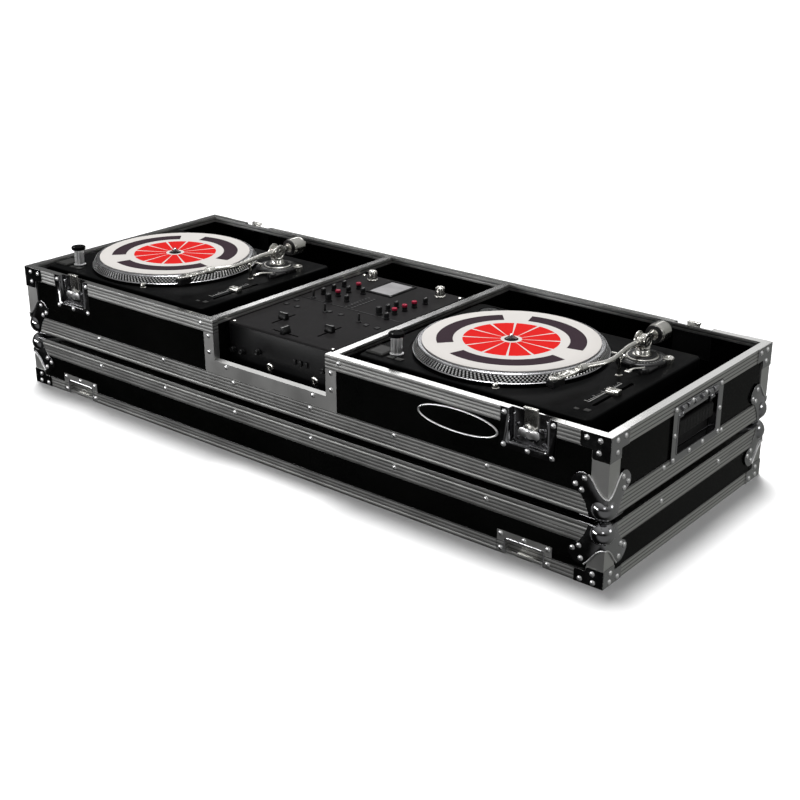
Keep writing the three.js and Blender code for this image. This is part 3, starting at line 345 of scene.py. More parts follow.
def makeHandling():  # faint greasy patches and dust from use
    group, start, end = newGroup("handlingMarks", [
        ("Vector", "NodeSocketVector", None), ("Patch Scale", "NodeSocketFloat", 9.0),
        ("Low", "NodeSocketFloat", 0.2), ("High", "NodeSocketFloat", 0.4)], [
        ("Roughness", "NodeSocketFloat"), ("Patches", "NodeSocketFloat")])
    patches = group.nodes.new("ShaderNodeTexNoise")
    patches.inputs["Detail"].default_value = 5
    patches.inputs["Roughness"].default_value = 0.6
    spread = group.nodes.new("ShaderNodeMapRange")
    spread.inputs["From Min"].default_value = 0.35
    spread.inputs["From Max"].default_value = 0.65
    group.links.new(start.outputs["Vector"], patches.inputs["Vector"])
    group.links.new(start.outputs["Patch Scale"], patches.inputs["Scale"])
    group.links.new(patches.outputs["Fac"], spread.inputs["Value"])
    group.links.new(start.outputs["Low"], spread.inputs["To Min"])
    group.links.new(start.outputs["High"], spread.inputs["To Max"])
    group.links.new(spread.outputs["Result"], end.inputs["Roughness"])
    group.links.new(patches.outputs["Fac"], end.inputs["Patches"])
    return group


def makeGrain():  # fine even grain for paint, moulded plastic, foam and felt
    group, start, end = newGroup("fineGrain", [
        ("Vector", "NodeSocketVector", None), ("Grain Scale", "NodeSocketFloat", 900.0),
        ("Lump Scale", "NodeSocketFloat", 60.0), ("Lumps", "NodeSocketFloat", 0.3)], [
        ("Height", "NodeSocketFloat")])
    grain = group.nodes.new("ShaderNodeTexNoise")
    grain.inputs["Detail"].default_value = 3
    lumps = group.nodes.new("ShaderNodeTexNoise")
    lumps.inputs["Detail"].default_value = 2
    both = group.nodes.new("ShaderNodeMath")
    both.operation = "MULTIPLY_ADD"
    group.links.new(start.outputs["Vector"], grain.inputs["Vector"])
    group.links.new(start.outputs["Vector"], lumps.inputs["Vector"])
    group.links.new(start.outputs["Grain Scale"], grain.inputs["Scale"])
    group.links.new(start.outputs["Lump Scale"], lumps.inputs["Scale"])
    group.links.new(lumps.outputs["Fac"], both.inputs[0])
    group.links.new(start.outputs["Lumps"], both.inputs[1])
    group.links.new(grain.outputs["Fac"], both.inputs[2])
    group.links.new(both.outputs["Value"], end.inputs["Height"])
    return group


def makeDrawLines():  # the fine lines that an extrusion or a lathe leaves, long along one way
    group, start, end = newGroup("drawLines", [
        ("Vector", "NodeSocketVector", None), ("Stretch", "NodeSocketVector", (4.0, 4.0, 900.0))], [
        ("Height", "NodeSocketFloat")])
    place = group.nodes.new("ShaderNodeVectorMath")
    place.operation = "MULTIPLY"
    lines = group.nodes.new("ShaderNodeTexNoise")
    lines.inputs["Scale"].default_value = 1
    lines.inputs["Detail"].default_value = 4
    group.links.new(start.outputs["Vector"], place.inputs[0])
    group.links.new(start.outputs["Stretch"], place.inputs[1])
    group.links.new(place.outputs["Vector"], lines.inputs["Vector"])
    group.links.new(lines.outputs["Fac"], end.inputs["Height"])
    return group


def makeRibs():  # an edging's grooves by height, and painted shade that darkens each groove, inside one flange
    group, start, end = newGroup("edgingRibs", [
        ("Vector", "NodeSocketVector", None), ("Pitch", "NodeSocketFloat", 0.0064), ("First", "NodeSocketFloat", 0.0),
        ("Low", "NodeSocketFloat", 0.0), ("High", "NodeSocketFloat", 1.0)], [
        ("Height", "NodeSocketFloat"), ("Shade", "NodeSocketFloat"), ("Below", "NodeSocketFloat")])

    def sum(kind, a, b):
        node = group.nodes.new("ShaderNodeMath")
        node.operation = kind
        for socket, value in zip(node.inputs, (a, b)):
            if isinstance(value, (int, float)):
                socket.default_value = value
            else:
                group.links.new(value, socket)
        return node.outputs["Value"]

    parts = group.nodes.new("ShaderNodeSeparateXYZ")
    group.links.new(start.outputs["Vector"], parts.inputs["Vector"])
    height = parts.outputs["Z"]
    away = sum("PINGPONG", sum("DIVIDE", sum("SUBTRACT", height, start.outputs["First"]), start.outputs["Pitch"]), 0.5)
    inside = sum("MULTIPLY", sum("GREATER_THAN", height, start.outputs["Low"]), sum("LESS_THAN", height, start.outputs["High"]))
    group.links.new(sum("MULTIPLY", away, inside), end.inputs["Height"])
    # painted shade: the Shade output is highest near each groove's middle, where shade falls in the groove
    dark = group.nodes.new("ShaderNodeMapRange")
    dark.inputs["From Min"].default_value = 0.08
    dark.inputs["From Max"].default_value = 0.2
    dark.inputs["To Min"].default_value = 1.0
    dark.inputs["To Max"].default_value = 0.0
    group.links.new(away, dark.inputs["Value"])
    group.links.new(sum("MULTIPLY", dark.outputs["Result"], inside), end.inputs["Shade"])
    group.links.new(sum("LESS_THAN", height, start.outputs["High"]), end.inputs["Below"])
    return group


felt = {"ringLow": 0.018, "ringHigh": 0.082, "wedges": 12, "wedgeGap": 0.1, "bandLow": 0.098, "bandHigh": 0.126,
        "bands": 3, "bandGap": 0.2, "heart": 0.012, "white": (0.52, 0.5, 0.48), "red": (0.53, 0.016, 0.015), "plum": (0.035, 0.024, 0.03)}


def makeFeltArtwork():
    group, start, end = newGroup("feltArtwork", [("Vector", "NodeSocketVector", None)], [("Color", "NodeSocketColor")])

    def sum_(kind, a, b=None, c=None):
        node = group.nodes.new("ShaderNodeMath")
        node.operation = kind
        for socket, value in zip(node.inputs, (a, b, c)):
            if isinstance(value, (int, float)):
                socket.default_value = value
            elif value is not None:
                group.links.new(value, socket)
        return node.outputs["Value"]

    def paint(below, mask, colour):
        node = group.nodes.new("ShaderNodeMix")
        node.data_type = "RGBA"
        group.links.new(mask, node.inputs[0])
        if isinstance(below, tuple):
            node.inputs[6].default_value = (*below, 1)
        else:
            group.links.new(below, node.inputs[6])
        node.inputs[7].default_value = (*colour, 1)
        return node.outputs[2]

    parts = group.nodes.new("ShaderNodeSeparateXYZ")
    group.links.new(start.outputs["Vector"], parts.inputs["Vector"])
    x, y = parts.outputs["X"], parts.outputs["Y"]
    radius = sum_("SQRT", sum_("ADD", sum_("MULTIPLY", x, x), sum_("MULTIPLY", y, y)))
    turn = sum_("DIVIDE", sum_("ARCTAN2", y, x), 2 * math.pi)

    def share(count):  # how far round one of count equal sectors, from -0.5 to 0.5
        return sum_("SUBTRACT", sum_("FRACT", sum_("ADD", sum_("MULTIPLY", turn, count), count)), 0.5)

    ring = sum_("MULTIPLY", sum_("GREATER_THAN", radius, felt["ringLow"]), sum_("LESS_THAN", radius, felt["ringHigh"]))
    wedge = sum_("LESS_THAN", sum_("ABSOLUTE", share(felt["wedges"])), 0.5 - felt["wedgeGap"] / 2)
    red = paint(felt["white"], sum_("MULTIPLY", ring, wedge), felt["red"])
    band = sum_("MULTIPLY", sum_("GREATER_THAN", radius, felt["bandLow"]), sum_("LESS_THAN", radius, felt["bandHigh"]))
    arc = sum_("LESS_THAN", sum_("ABSOLUTE", share(felt["bands"])), 0.5 - felt["bandGap"] / 2)
    spots = paint(red, sum_("MULTIPLY", band, arc), felt["plum"])
    whole = paint(spots, sum_("LESS_THAN", radius, felt["heart"]), felt["plum"])
    group.links.new(whole, end.inputs["Color"])
    return group


handlingMarks = makeHandling()
feltArtwork = makeFeltArtwork()
fineGrain = makeGrain()
drawLines = makeDrawLines()
edgingRibs = makeRibs()


def startFinish(name, colour, metallic=0.0, specular=0.5, coat=0.0):
    material = bpy.data.materials.new(name)
    material.use_nodes = True
    material.diffuse_color = (*colour, 1)
    nodes = material.node_tree.nodes
    shader = nodes["Principled BSDF"]
    shader.inputs["Base Color"].default_value = (*colour, 1)
    shader.inputs["Metallic"].default_value = metallic
    shader.inputs["Specular IOR Level"].default_value = specular
    shader.inputs["Coat Weight"].default_value = coat
    place = nodes.new("ShaderNodeTexCoord")
    return material, material.node_tree, shader, place.outputs["Object"]


def addGroup(tree, group, place, **values):
    node = tree.nodes.new("ShaderNodeGroup")
    node.node_tree = group
    for key, value in values.items():
        node.inputs[key.replace("_", " ")].default_value = value
    tree.links.new(place, node.inputs["Vector"])
    return node


def addMarks(tree, shader, place, low, high, scale=9.0):
    marks = addGroup(tree, handlingMarks, place, Patch_Scale=scale, Low=low, High=high)
    tree.links.new(marks.outputs["Roughness"], shader.inputs["Roughness"])
    return marks


def addBump(tree, shader, height, strength, distance, below=None):
    bump = tree.nodes.new("ShaderNodeBump")
    bump.inputs["Strength"].default_value = strength
    bump.inputs["Distance"].default_value = distance
    tree.links.new(height, bump.inputs["Height"])
    if below is not None:
        tree.links.new(below.outputs["Normal"], bump.inputs["Normal"])
    tree.links.new(bump.outputs["Normal"], shader.inputs["Normal"])
    return bump


def addTint(tree, shader, factor, low, high, fromLow=0.35, fromHigh=0.65):
    tint = tree.nodes.new("ShaderNodeValToRGB")
    tint.color_ramp.elements[0].position = fromLow
    tint.color_ramp.elements[0].color = (*low, 1)
    tint.color_ramp.elements[1].position = fromHigh
    tint.color_ramp.elements[1].color = (*high, 1)
    tree.links.new(factor, tint.inputs["Fac"])
    tree.links.new(tint.outputs["Color"], shader.inputs["Base Color"])
    return tint


def makeLaminate():  # gloss black laminate on plywood, faintly scuffed
    material, tree, shader, place = startFinish("blackLaminate", (0.0014, 0.0014, 0.0014), specular=0.03)
    marks = addMarks(tree, shader, place, 0.1, 0.2, scale=5.0)
    addTint(tree, shader, marks.outputs["Patches"], (0.001, 0.0011, 0.001), (0.002, 0.0021, 0.002))
    grain = addGroup(tree, fineGrain, place, Grain_Scale=700.0, Lump_Scale=30.0, Lumps=1.2)
    addBump(tree, shader, grain.outputs["Height"], 0.12, 0.0003)
    return material


def makeEdging(name, low, high, first):  # ribbed aluminium extrusion, with painted shade darkening its grooves
    material, tree, shader, place = startFinish(name, (0.55, 0.55, 0.55), metallic=1.0)
    marks = addMarks(tree, shader, place, 0.36, 0.42, scale=14.0)
    ribs = addGroup(tree, edgingRibs, place, Low=low / 1000, High=high / 1000, First=first / 1000)
    geometry = tree.nodes.new("ShaderNodeNewGeometry")
    facingUp = tree.nodes.new("ShaderNodeSeparateXYZ")
    tree.links.new(geometry.outputs["True Normal"], facingUp.inputs["Vector"])
    satin = tree.nodes.new("ShaderNodeMath")  # top faces lower than the rim have a pale, worn anodised film
    satin.operation = "MULTIPLY"
    tree.links.new(facingUp.outputs["Z"], satin.inputs[0])
    tree.links.new(ribs.outputs["Below"], satin.inputs[1])
    film = tree.nodes.new("ShaderNodeMath")
    film.operation = "MULTIPLY_ADD"
    film.use_clamp = True
    film.inputs[1].default_value = -0.7
    film.inputs[2].default_value = 1.0
    tree.links.new(satin.outputs["Value"], film.inputs[0])
    tree.links.new(film.outputs["Value"], shader.inputs["Metallic"])
    rimTop = tree.nodes.new("ShaderNodeMath")
    rimTop.operation = "SUBTRACT"
    tree.links.new(facingUp.outputs["Z"], rimTop.inputs[0])
    tree.links.new(satin.outputs["Value"], rimTop.inputs[1])
    polish = tree.nodes.new("ShaderNodeMath")  # the rim's own top is smoother than the ribbed flanges
    polish.operation = "MULTIPLY_ADD"
    polish.inputs[1].default_value = -0.22
    tree.links.new(rimTop.outputs["Value"], polish.inputs[0])
    tree.links.new(marks.outputs["Roughness"], polish.inputs[2])
    tree.links.new(polish.outputs["Value"], shader.inputs["Roughness"])
    # painted shade: the base colour falls from pale grey to dark grey inside the grooves
    addTint(tree, shader, ribs.outputs["Shade"], (0.56, 0.56, 0.55), (0.2, 0.2, 0.196), 0.0, 1.0)
    lines = addGroup(tree, drawLines, place, Stretch=(3.0, 3.0, 1400.0))
    bottom = addBump(tree, shader, lines.outputs["Height"], 0.06, 0.0003)
    addBump(tree, shader, ribs.outputs["Height"], 0.4, 0.001, below=bottom)
    return material


def makeChrome(name, colour, low, high):
    material, tree, shader, place = startFinish(name, colour, metallic=1.0)
    marks = addMarks(tree, shader, place, low, high, scale=26.0)
    addTint(tree, shader, marks.outputs["Patches"], [v * 0.9 for v in colour], colour)
    grain = addGroup(tree, fineGrain, place, Grain_Scale=400.0, Lump_Scale=70.0, Lumps=1.5)
    addBump(tree, shader, grain.outputs["Height"], 0.1, 0.0005)
    return material


def makePaint(name, colour, low, high, specular=0.4, grainScale=900.0, strength=0.15):
    material, tree, shader, place = startFinish(name, colour, specular=specular)
    marks = addMarks(tree, shader, place, low, high, scale=11.0)
    addTint(tree, shader, marks.outputs["Patches"], [v * 0.85 for v in colour], [v * 1.15 for v in colour])
    grain = addGroup(tree, fineGrain, place, Grain_Scale=grainScale, Lump_Scale=80.0, Lumps=0.5)
    addBump(tree, shader, grain.outputs["Height"], strength, 0.0003)
    return material


def makeFoam():  # open cell foam, matt
    material, tree, shader, place = startFinish("foamLiner", (0.012, 0.012, 0.013), specular=0.15)
    marks = addMarks(tree, shader, place, 0.85, 1.0, scale=40.0)
    addTint(tree, shader, marks.outputs["Patches"], (0.008, 0.008, 0.009), (0.02, 0.02, 0.021))
    cells = tree.nodes.new("ShaderNodeTexVoronoi")
    cells.inputs["Scale"].default_value = 420.0
    tree.links.new(place, cells.inputs["Vector"])
    addBump(tree, shader, cells.outputs["Distance"], 0.8, 0.001)
    return material


def makeFelt(name, middle):  # printed felt: a red ring of wedges inside three plum bands, on off-white
    material, tree, shader, place = startFinish(name, felt["white"], specular=0.02)
    nodes, links = tree.nodes, tree.links
    local = nodes.new("ShaderNodeVectorMath")
    local.operation = "SUBTRACT"
    local.inputs[1].default_value = middle
    links.new(place, local.inputs[0])
    artwork = nodes.new("ShaderNodeGroup")
    artwork.node_tree = feltArtwork
    links.new(local.outputs["Vector"], artwork.inputs["Vector"])
    links.new(artwork.outputs["Color"], shader.inputs["Base Color"])
    addMarks(tree, shader, place, 0.85, 1.0, scale=30.0)
    grain = addGroup(tree, fineGrain, place, Grain_Scale=1500.0, Lump_Scale=160.0, Lumps=0.8)
    addBump(tree, shader, grain.outputs["Height"], 0.5, 0.0006)
    return material


laminate = makeLaminate()
plated = makeChrome("platedSteel", (0.34, 0.34, 0.35), 0.06, 0.18)
rivetSteel = makeChrome("rivetSteel", (0.9, 0.9, 0.9), 0.26, 0.38)
satinMetal = makeChrome("satinMetal", (0.74, 0.73, 0.69), 0.16, 0.3)
turnedMetal = makeChrome("turnedAluminium", (0.36, 0.36, 0.37), 0.2, 0.3)
deckPaint = makePaint("deckBlack", (0.0026, 0.0027, 0.0028), 0.3, 0.42, specular=0.012)
rubber = makePaint("blackRubber", (0.006, 0.006, 0.006), 0.5, 0.7, specular=0.2, strength=0.3)
plastic = makePaint("blackPlastic", (0.006, 0.006, 0.0065), 0.3, 0.46, specular=0.2, grainScale=1400.0)
mixerPaint = makePaint("mixerGrey", (0.0135, 0.0129, 0.0133), 0.42, 0.55, specular=0.02)
keyGrey = makePaint("startKeyGrey", (0.035, 0.035, 0.034), 0.3, 0.45, specular=0.04)
markInk = makePaint("markInk", (0.4, 0.4, 0.39), 0.5, 0.7)
litRed = makePaint("litRed", (0.28, 0.004, 0.03), 0.35, 0.5, specular=0.2)
displayGlass = makePaint("displayGlass", (0.27, 0.265, 0.27), 0.12, 0.2, specular=0.3, strength=0.02)
foam = makeFoam()
print("dj case: finishes made")


# Camera, floor and studio light

cameraPlace = {"spot": (1577.85, -1833.55, 1037.25), "turn": (67.7665, 0.1029, 39.2463), "lens": 61.5808}
bpy.ops.object.camera_add(location=[v / 1000 for v in cameraPlace["spot"]],
                          rotation=[math.radians(v) for v in cameraPlace["turn"]])
camera = bpy.context.active_object
camera.data.lens = cameraPlace["lens"]
camera.data.sensor_width = 36
camera.data.clip_start = 0.05
camera.data.clip_end = 60
scene.camera = camera
scene.view_settings.view_transform = "Standard"

studio = {
    "floorSize": 40000, "floorColour": (0.97, 0.97, 0.97), "white": (1.0, 1.0, 1.0), "matt": (0.1, 0.1, 0.102),
    "skyDark": (0.006, 0.006, 0.006), "skyLight": (0.25, 0.255, 0.243), "skyHigh": (0.5, 0.5, 0.5),
    "skyLow": (0.24, 0.24, 0.24), "lightSide": (0.72, 0.69, 0.0), "farSide": (-0.69, 0.72, 0.0),
    "sun": {"aim": (0.24, -0.2, -1.0), "strength": 3.95, "angle": 20},
    "lights": [  # name, spot, aim, width, height, watts
        ("backSoftbox", (-1360, 1790, 1280), (-1360, 1060, 0), 1790, 300, 5.5),
        ("backRight", (-440, 2400, 1280), (-440, 1670, 0), 500, 1200, 1.6),
        ("overhead", (300, 300, 2900), (0, 0, 100), 1600, 1200, 14),
        ("frontStrip", (-1500, -2500, 420), (200, -261, 130), 2600, 420, 34),
        ("rightBox", (2500, 500, 900), (600, 0, 150), 700, 500, 5),
        ("frontFill", (2300, -2600, 1500), (0, 0, 150), 900, 700, 6),
    ],
}


def makeFloor():
    deselectAll()
    bpy.ops.mesh.primitive_plane_add(size=studio["floorSize"] / 1000, location=(0, 0, 0))
    floor = settle("studioFloor")
    material, tree, shader, place = startFinish("floorPaper", studio["floorColour"], specular=0.1)
    addMarks(tree, shader, place, 0.7, 0.85, scale=2.0)
    floor.data.materials.append(material)
    floor.visible_glossy = False
    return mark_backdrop(floor)


def makeLights():
    for name, spot, aim, width, height, watts in studio["lights"]:
        deselectAll()
        spot, aim = Vector(spot) / 1000, Vector(aim) / 1000
        bpy.ops.object.light_add(type="AREA", location=spot,
                                 rotation=(aim - spot).to_track_quat("-Z", "Y").to_euler())
        light = bpy.context.active_object
        light.name = name
        light.data.shape = "RECTANGLE"
        light.data.size, light.data.size_y = width / 1000, height / 1000
        light.data.energy = watts
        light.visible_camera = False
    bpy.ops.object.light_add(type="SUN", rotation=Vector(studio["sun"]["aim"]).to_track_quat("-Z", "Y").to_euler())
    sun = bpy.context.active_object
    sun.name = "softSun"
    sun.data.energy = studio["sun"]["strength"]
    sun.data.angle = math.radians(studio["sun"]["angle"])


def makeSky():  # white to the camera, pale to matt surfaces, a dark studio with a lighter right side in reflections
    sky = bpy.data.worlds.new("studioSky")
    scene.world = sky
    sky.use_nodes = True
    nodes, links = sky.node_tree.nodes, sky.node_tree.links
    ways = nodes.new("ShaderNodeTexCoord")
    side = nodes.new("ShaderNodeVectorMath")
    side.operation = "DOT_PRODUCT"
    side.inputs[1].default_value = studio["lightSide"]
    links.new(ways.outputs["Generated"], side.inputs[0])
    around = nodes.new("ShaderNodeValToRGB")
    around.color_ramp.elements[0].position = 0.15
    around.color_ramp.elements[0].color = (*studio["skyDark"], 1)
    around.color_ramp.elements[1].position = 0.85
    around.color_ramp.elements[1].color = (*studio["skyLight"], 1)
    links.new(side.outputs["Value"], around.inputs["Fac"])
    parts = nodes.new("ShaderNodeSeparateXYZ")
    links.new(ways.outputs["Generated"], parts.inputs["Vector"])
    far = nodes.new("ShaderNodeVectorMath")  # low down, the two ways across the view are lighter
    far.operation = "DOT_PRODUCT"
    far.inputs[1].default_value = studio["farSide"]
    links.new(ways.outputs["Generated"], far.inputs[0])
    eitherWay = nodes.new("ShaderNodeMath")
    eitherWay.operation = "ABSOLUTE"
    links.new(far.outputs["Value"], eitherWay.inputs[0])
    across = nodes.new("ShaderNodeMapRange")
    across.inputs["From Min"].default_value = 0.35
    across.inputs["From Max"].default_value = 0.65
    links.new(eitherWay.outputs["Value"], across.inputs["Value"])
    below = nodes.new("ShaderNodeMapRange")
    below.inputs["From Min"].default_value = 0.05
    below.inputs["From Max"].default_value = -0.15
    links.new(parts.outputs["Z"], below.inputs["Value"])
    lowShare = nodes.new("ShaderNodeMath")
    lowShare.operation = "MULTIPLY"
    links.new(across.outputs["Result"], lowShare.inputs[0])
    links.new(below.outputs["Result"], lowShare.inputs[1])
    above = nodes.new("ShaderNodeMapRange")
    above.inputs["From Min"].default_value = 0.1
    above.inputs["From Max"].default_value = 0.75
    links.new(parts.outputs["Z"], above.inputs["Value"])
    seen = nodes.new("ShaderNodeLightPath")
    level = skyMix(nodes, links, lowShare.outputs["Value"], around.outputs["Color"], studio["skyLow"])
    reflected = skyMix(nodes, links, above.outputs["Result"], level, studio["skyHigh"])
    matt = skyMix(nodes, links, seen.outputs["Is Glossy Ray"], studio["matt"], reflected)
    links.new(skyMix(nodes, links, seen.outputs["Is Camera Ray"], matt, studio["white"]), nodes["Background"].inputs["Color"])


def skyMix(nodes, links, share, low, high):
    mix = nodes.new("ShaderNodeMix")
    mix.data_type = "RGBA"
    links.new(share, mix.inputs[0])
    for socket, colour in ((mix.inputs[6], low), (mix.inputs[7], high)):
        if isinstance(colour, tuple):
            socket.default_value = (*colour, 1)
        else:
            links.new(colour, socket)
    return mix.outputs[2]


makeFloor()
makeLights()
makeSky()
print("dj case: camera, floor and lights set")


# Boards that keep their CAD shape, with the laminate's finish

def dressBoards():
    for node in ("lid_top_panel", "lid_wall_frame", "tray_floor", "tray_front_panel", "tray_back_panel",
                 "tray_left_panel", "tray_right_panel", "divider_left", "divider_right"):
        frame["nodes"][node].data.materials.clear()
        frame["nodes"][node].data.materials.append(laminate)


dressBoards()

cornerNames = [(f"{side}_{end}", sx, sy) for side, sy in (("front", -1), ("back", 1))
               for end, sx in (("left", -1), ("right", 1))]


# Edging: the CAD extrusions with their outer arrises rounded

edging = {"round": 0.7, "gap": 7, "pieces": {  # the end that has the arris, then the flange's low, high and first groove
    "lid_top_edging": (101, 67, 101, 74.4), "lid_rim_edging": (0, 0, 22, 7.8),
    "tray_base_edging": (113.3, 113.3, 147.3, 120.7), "tray_rim_edging": (248, 223, 245.8, 229.1)}}


def dressEdging():
    for node, (zEdge, low, high, first) in edging["pieces"].items():
        piece = copyOfNode(node, f"{node}_extrusion")
        outer = lambda p: abs(abs(p.x) - 681) < 0.05 or abs(abs(p.y) - 261) < 0.05
        bevelSome(piece, lambda a, b: outer(a) and outer(b) and abs(a.z - zEdge) < 0.05
                  and abs(b.z - zEdge) < 0.05 and (a - b).length > 20, edging["round"], 3)
        if zEdge in (101, 113.3):  # the ball corners' noses fill these corners
            for sx, sy in ((-1, -1), (1, -1), (-1, 1), (1, 1)):
                cutWith(piece, startBox("cornerGap", (sx * (681 - edging["gap"]), sy * (261 - edging["gap"]), zEdge - edging["gap"]),
                                        (sx * 690, sy * 270, zEdge + edging["gap"])))
        evenShade(piece)
        finished(piece, bodyOf[node], makeEdging(f"{node}_metal", low, high, first), "ribbed_edging", node)


dressEdging()
print("dj case: edging dressed")


# Rivets: one round head, copied to every place that the CAD gives one

rivets = {"radius": 4.7, "height": 2.3, "sunk": 0.25, "leafShares": ((0.88, 0.67), (0.635, 0.857), (0.7, 0.57)),
          "bracketShares": ((0.78, 0.22), (0.33, 0.22), (0.36, 0.7))}


def rivetPlaces():
    places = {"lid": [], "tray": []}
    for body, z in (("lid", 84), ("tray", 141.3)):
        for sx in (-1, 1):
            for sy in (-1, 1):
                places[body] += [((sx * x, sy * 261, z), (0, sy, 0)) for x in (93, 279, 465)]
                places[body].append(((sx * 681, sy * 95, z), (sx, 0, 0)))
    for name, sx, sy in cornerNames:
        for body, zEdge, up, height in (("tray", 248, 1, 41), ("lid", 0, -1, 30)):
            for u, v in rivets["bracketShares"]:
                places[body].append(((sx * (681 - 51 * u), sy * 262.2, zEdge - up * v * height), (0, sy, 0)))
                places[body].append(((sx * 682.2, sy * (261 - 51 * u), zEdge - up * v * height), (sx, 0, 0)))
        for body, zEdge, up in (("lid", 101, 1), ("tray", 113.3, -1)):
            for u, v in rivets["leafShares"]:
                places[body].append(((sx * (681 - 63 * u), sy * 262.2, zEdge - up * v * 70), (0, sy, 0)))
                places[body].append(((sx * 682.2, sy * (261 - 63 * u), zEdge - up * v * 70), (sx, 0, 0)))
        for body, high, low in (("tray", 239.6, 186.5), ("lid", 8.4, 34)):
            places[body] += [((sx * 538 + dx, sy * 260.3, z), (0, sy, 0))
                             for dx, z in ((-44.1, high), (44.1, high), (-44.1, low), (44.1, low), (0, low))]
    for edge, side in ((-140, -1), (130, 1)):
        places["tray"] += [((edge + side * 12, -261, 217), (0, -1, 0)), ((edge + side * 12, -261, 186.7), (0, -1, 0)),
                           ((edge - side * 30, -261, 166.3), (0, -1, 0)), ((edge + side * 30, -261, 237.8), (0, -1, 0))]
    for sx in (-1, 1):
        for side in (-1, 1):
            places["tray"] += [((sx * 682.2, 5 + side * 74.35, z), (sx, 0, 0)) for z in (144.3, 185.8, 229.3)]
            places["tray"] += [((sx * 682.2, 5 + side * 22, z), (sx, 0, 0)) for z in (144.3, 229.3)]
    return places


def makeRivets():
    head = startBall("rivetHead", (0, 0, 0), rivets["radius"], sides=12, rings=8)
    squashed(head, z=rivets["height"] / rivets["radius"])
    slicedOff(head, (0, 0, -rivets["sunk"]), (0, 0, -1))
    smooth(head, 60)
    for body, places in rivetPlaces().items():
        copies = [twin(head, f"{body}Rivet", facing(*spot, normal)) for spot, normal in places]
        finished(joined(f"{body}_rivets", copies), body, rivetSteel, "plated_steel")
    drop(head)


makeRivets()
print("dj case: rivets set")


# Ball corners: round nose, lobed leaves with a rolled edge

ball = {"radius": 20, "inset": 12.7, "drop": 14, "leaf": 1.2, "open": 7,
        "outline": ((6, 0), (30, 0), (33, 10), (38, 22), (46, 33), (57, 39), (63, 47), (62, 55), (57, 62),
                    (50, 68), (42, 70), (34, 68), (27, 61), (21, 52), (14, 43), (7, 37.5), (-1.2, 35.5),
                    (-1.2, 28), (6, 24)),
        "flatOutline": ((-1.2, 14), (14, -1.2), (46, -1.2), (52, 18), (62, 40), (61, 52), (53, 61), (42, 62), (20, 52), (-1.2, 46)),
        "bead": 1.5}


def makeBallCorner(prefix, name, sx, sy, zEdge, up):
    middle = (sx * (681 - ball["inset"]), sy * (261 - ball["inset"]), zEdge - up * ball["drop"])
    nose = startBall("nose", middle, ball["radius"], sides=48, rings=28)
    block = startBox("caseBody", (sx * 500, sy * 100, zEdge - up * 90),
                     (sx * (681 - ball["open"]), sy * (261 - ball["open"]), zEdge - up * ball["open"]))
    cutWith(nose, block)
    x, y, z = Vector((-sx, 0, 0)), Vector((0, -sy, 0)), Vector((0, 0, -up))
    leaves = [
        startOutline("leafFront", ball["outline"], ball["leaf"], x, z, -y, (sx * 681, sy * 261, zEdge)),
        startOutline("leafEnd", ball["outline"], ball["leaf"], y, z, -x, (sx * 681, sy * 261, zEdge)),
        startOutline("leafFlat", ball["flatOutline"], ball["leaf"], x, y, -z, (sx * 681, sy * 261, zEdge)),
    ]
    for leaf in leaves:
        roundEdges(leaf, 0.5, 2, 40)
    lip = [(34, 68), (27, 61), (21, 52), (14, 43), (7, 37.5), (0, 35.8)]
    along = [(sx * (681 - u), sy * 262.2, zEdge - up * v) for u, v in lip]
    along += [(sx * 682.2, sy * (261 - u), zEdge - up * v) for u, v in reversed(lip)]
    bead = startTube("lip", along, ball["bead"], sides=8)
    finished(smooth(bead, 60), prefix, rivetSteel, "plated_steel").name = f"{prefix}_ball_corner_{name}_lip"
    piece = joined(f"{prefix}_ball_corner_{name}_pressing", [nose, *leaves])
    smooth(piece, 40)
    finished(piece, prefix, plated, "plated_steel", f"{prefix}_ball_corner_{name}")


for name, sx, sy in cornerNames:
    makeBallCorner("lid", name, sx, sy, 101, 1)
    makeBallCorner("tray", name, sx, sy, 113.3, -1)
print("dj case: ball corners made")


# Corner brackets: thin pressings over the rims' corners

bracket = {"reach": 51, "leg": 30, "thickness": 1.25, "tray": (248, 1, 41, 25), "lid": (0, -1, 30, 22)}


def makeBrackets(body):
    zEdge, up, height, flange = bracket[body]
    reach, leg, thick = bracket["reach"], bracket["leg"], bracket["thickness"]
    outline = ((-thick, 0), (reach - 1, 0), (reach, 1), (reach, flange - 3), (reach - 3, flange), (leg + 2, flange),
               (leg, flange + 2), (leg, height - 3), (leg - 3, height), (-thick, height))
    plates = []
    for name, sx, sy in cornerNames:
        x, y, z = Vector((-sx, 0, 0)), Vector((0, -sy, 0)), Vector((0, 0, -up))
        plates.append(startOutline("bracketFront", outline, thick, x, z, -y, (sx * 681, sy * 261, zEdge)))
        plates.append(startOutline("bracketEnd", outline, thick, y, z, -x, (sx * 681, sy * 261, zEdge)))
    piece = joined(f"{body}_corner_brackets", plates)
    roundEdges(piece, 0.4, 2, 40)
    evenShade(piece, 40)
    finished(piece, body, plated, "plated_steel")


makeBrackets("tray")
makeBrackets("lid")


# Latches: pressed dish with a rolled edge, drum, hook and butterfly key

latch = {"half": 36, "plate": 51, "beadRadius": 1.3, "cornerRadius": 7, "drumRadius": 17, "drumDepth": 2.2,
         "wing": ((-19, 4), (-19.4, 0), (-19, -4), (-15, -7.2), (-9, -7), (-4, -4.6), (0, -4), (4, -4.6), (9, -7),
                  (15, -7.2), (19, -4), (19.4, 0), (19, 4), (15, 7.2), (9, 7), (4, 4.6), (0, 4), (-4, 4.6), (-9, 7),
                  (-15, 7.2))}


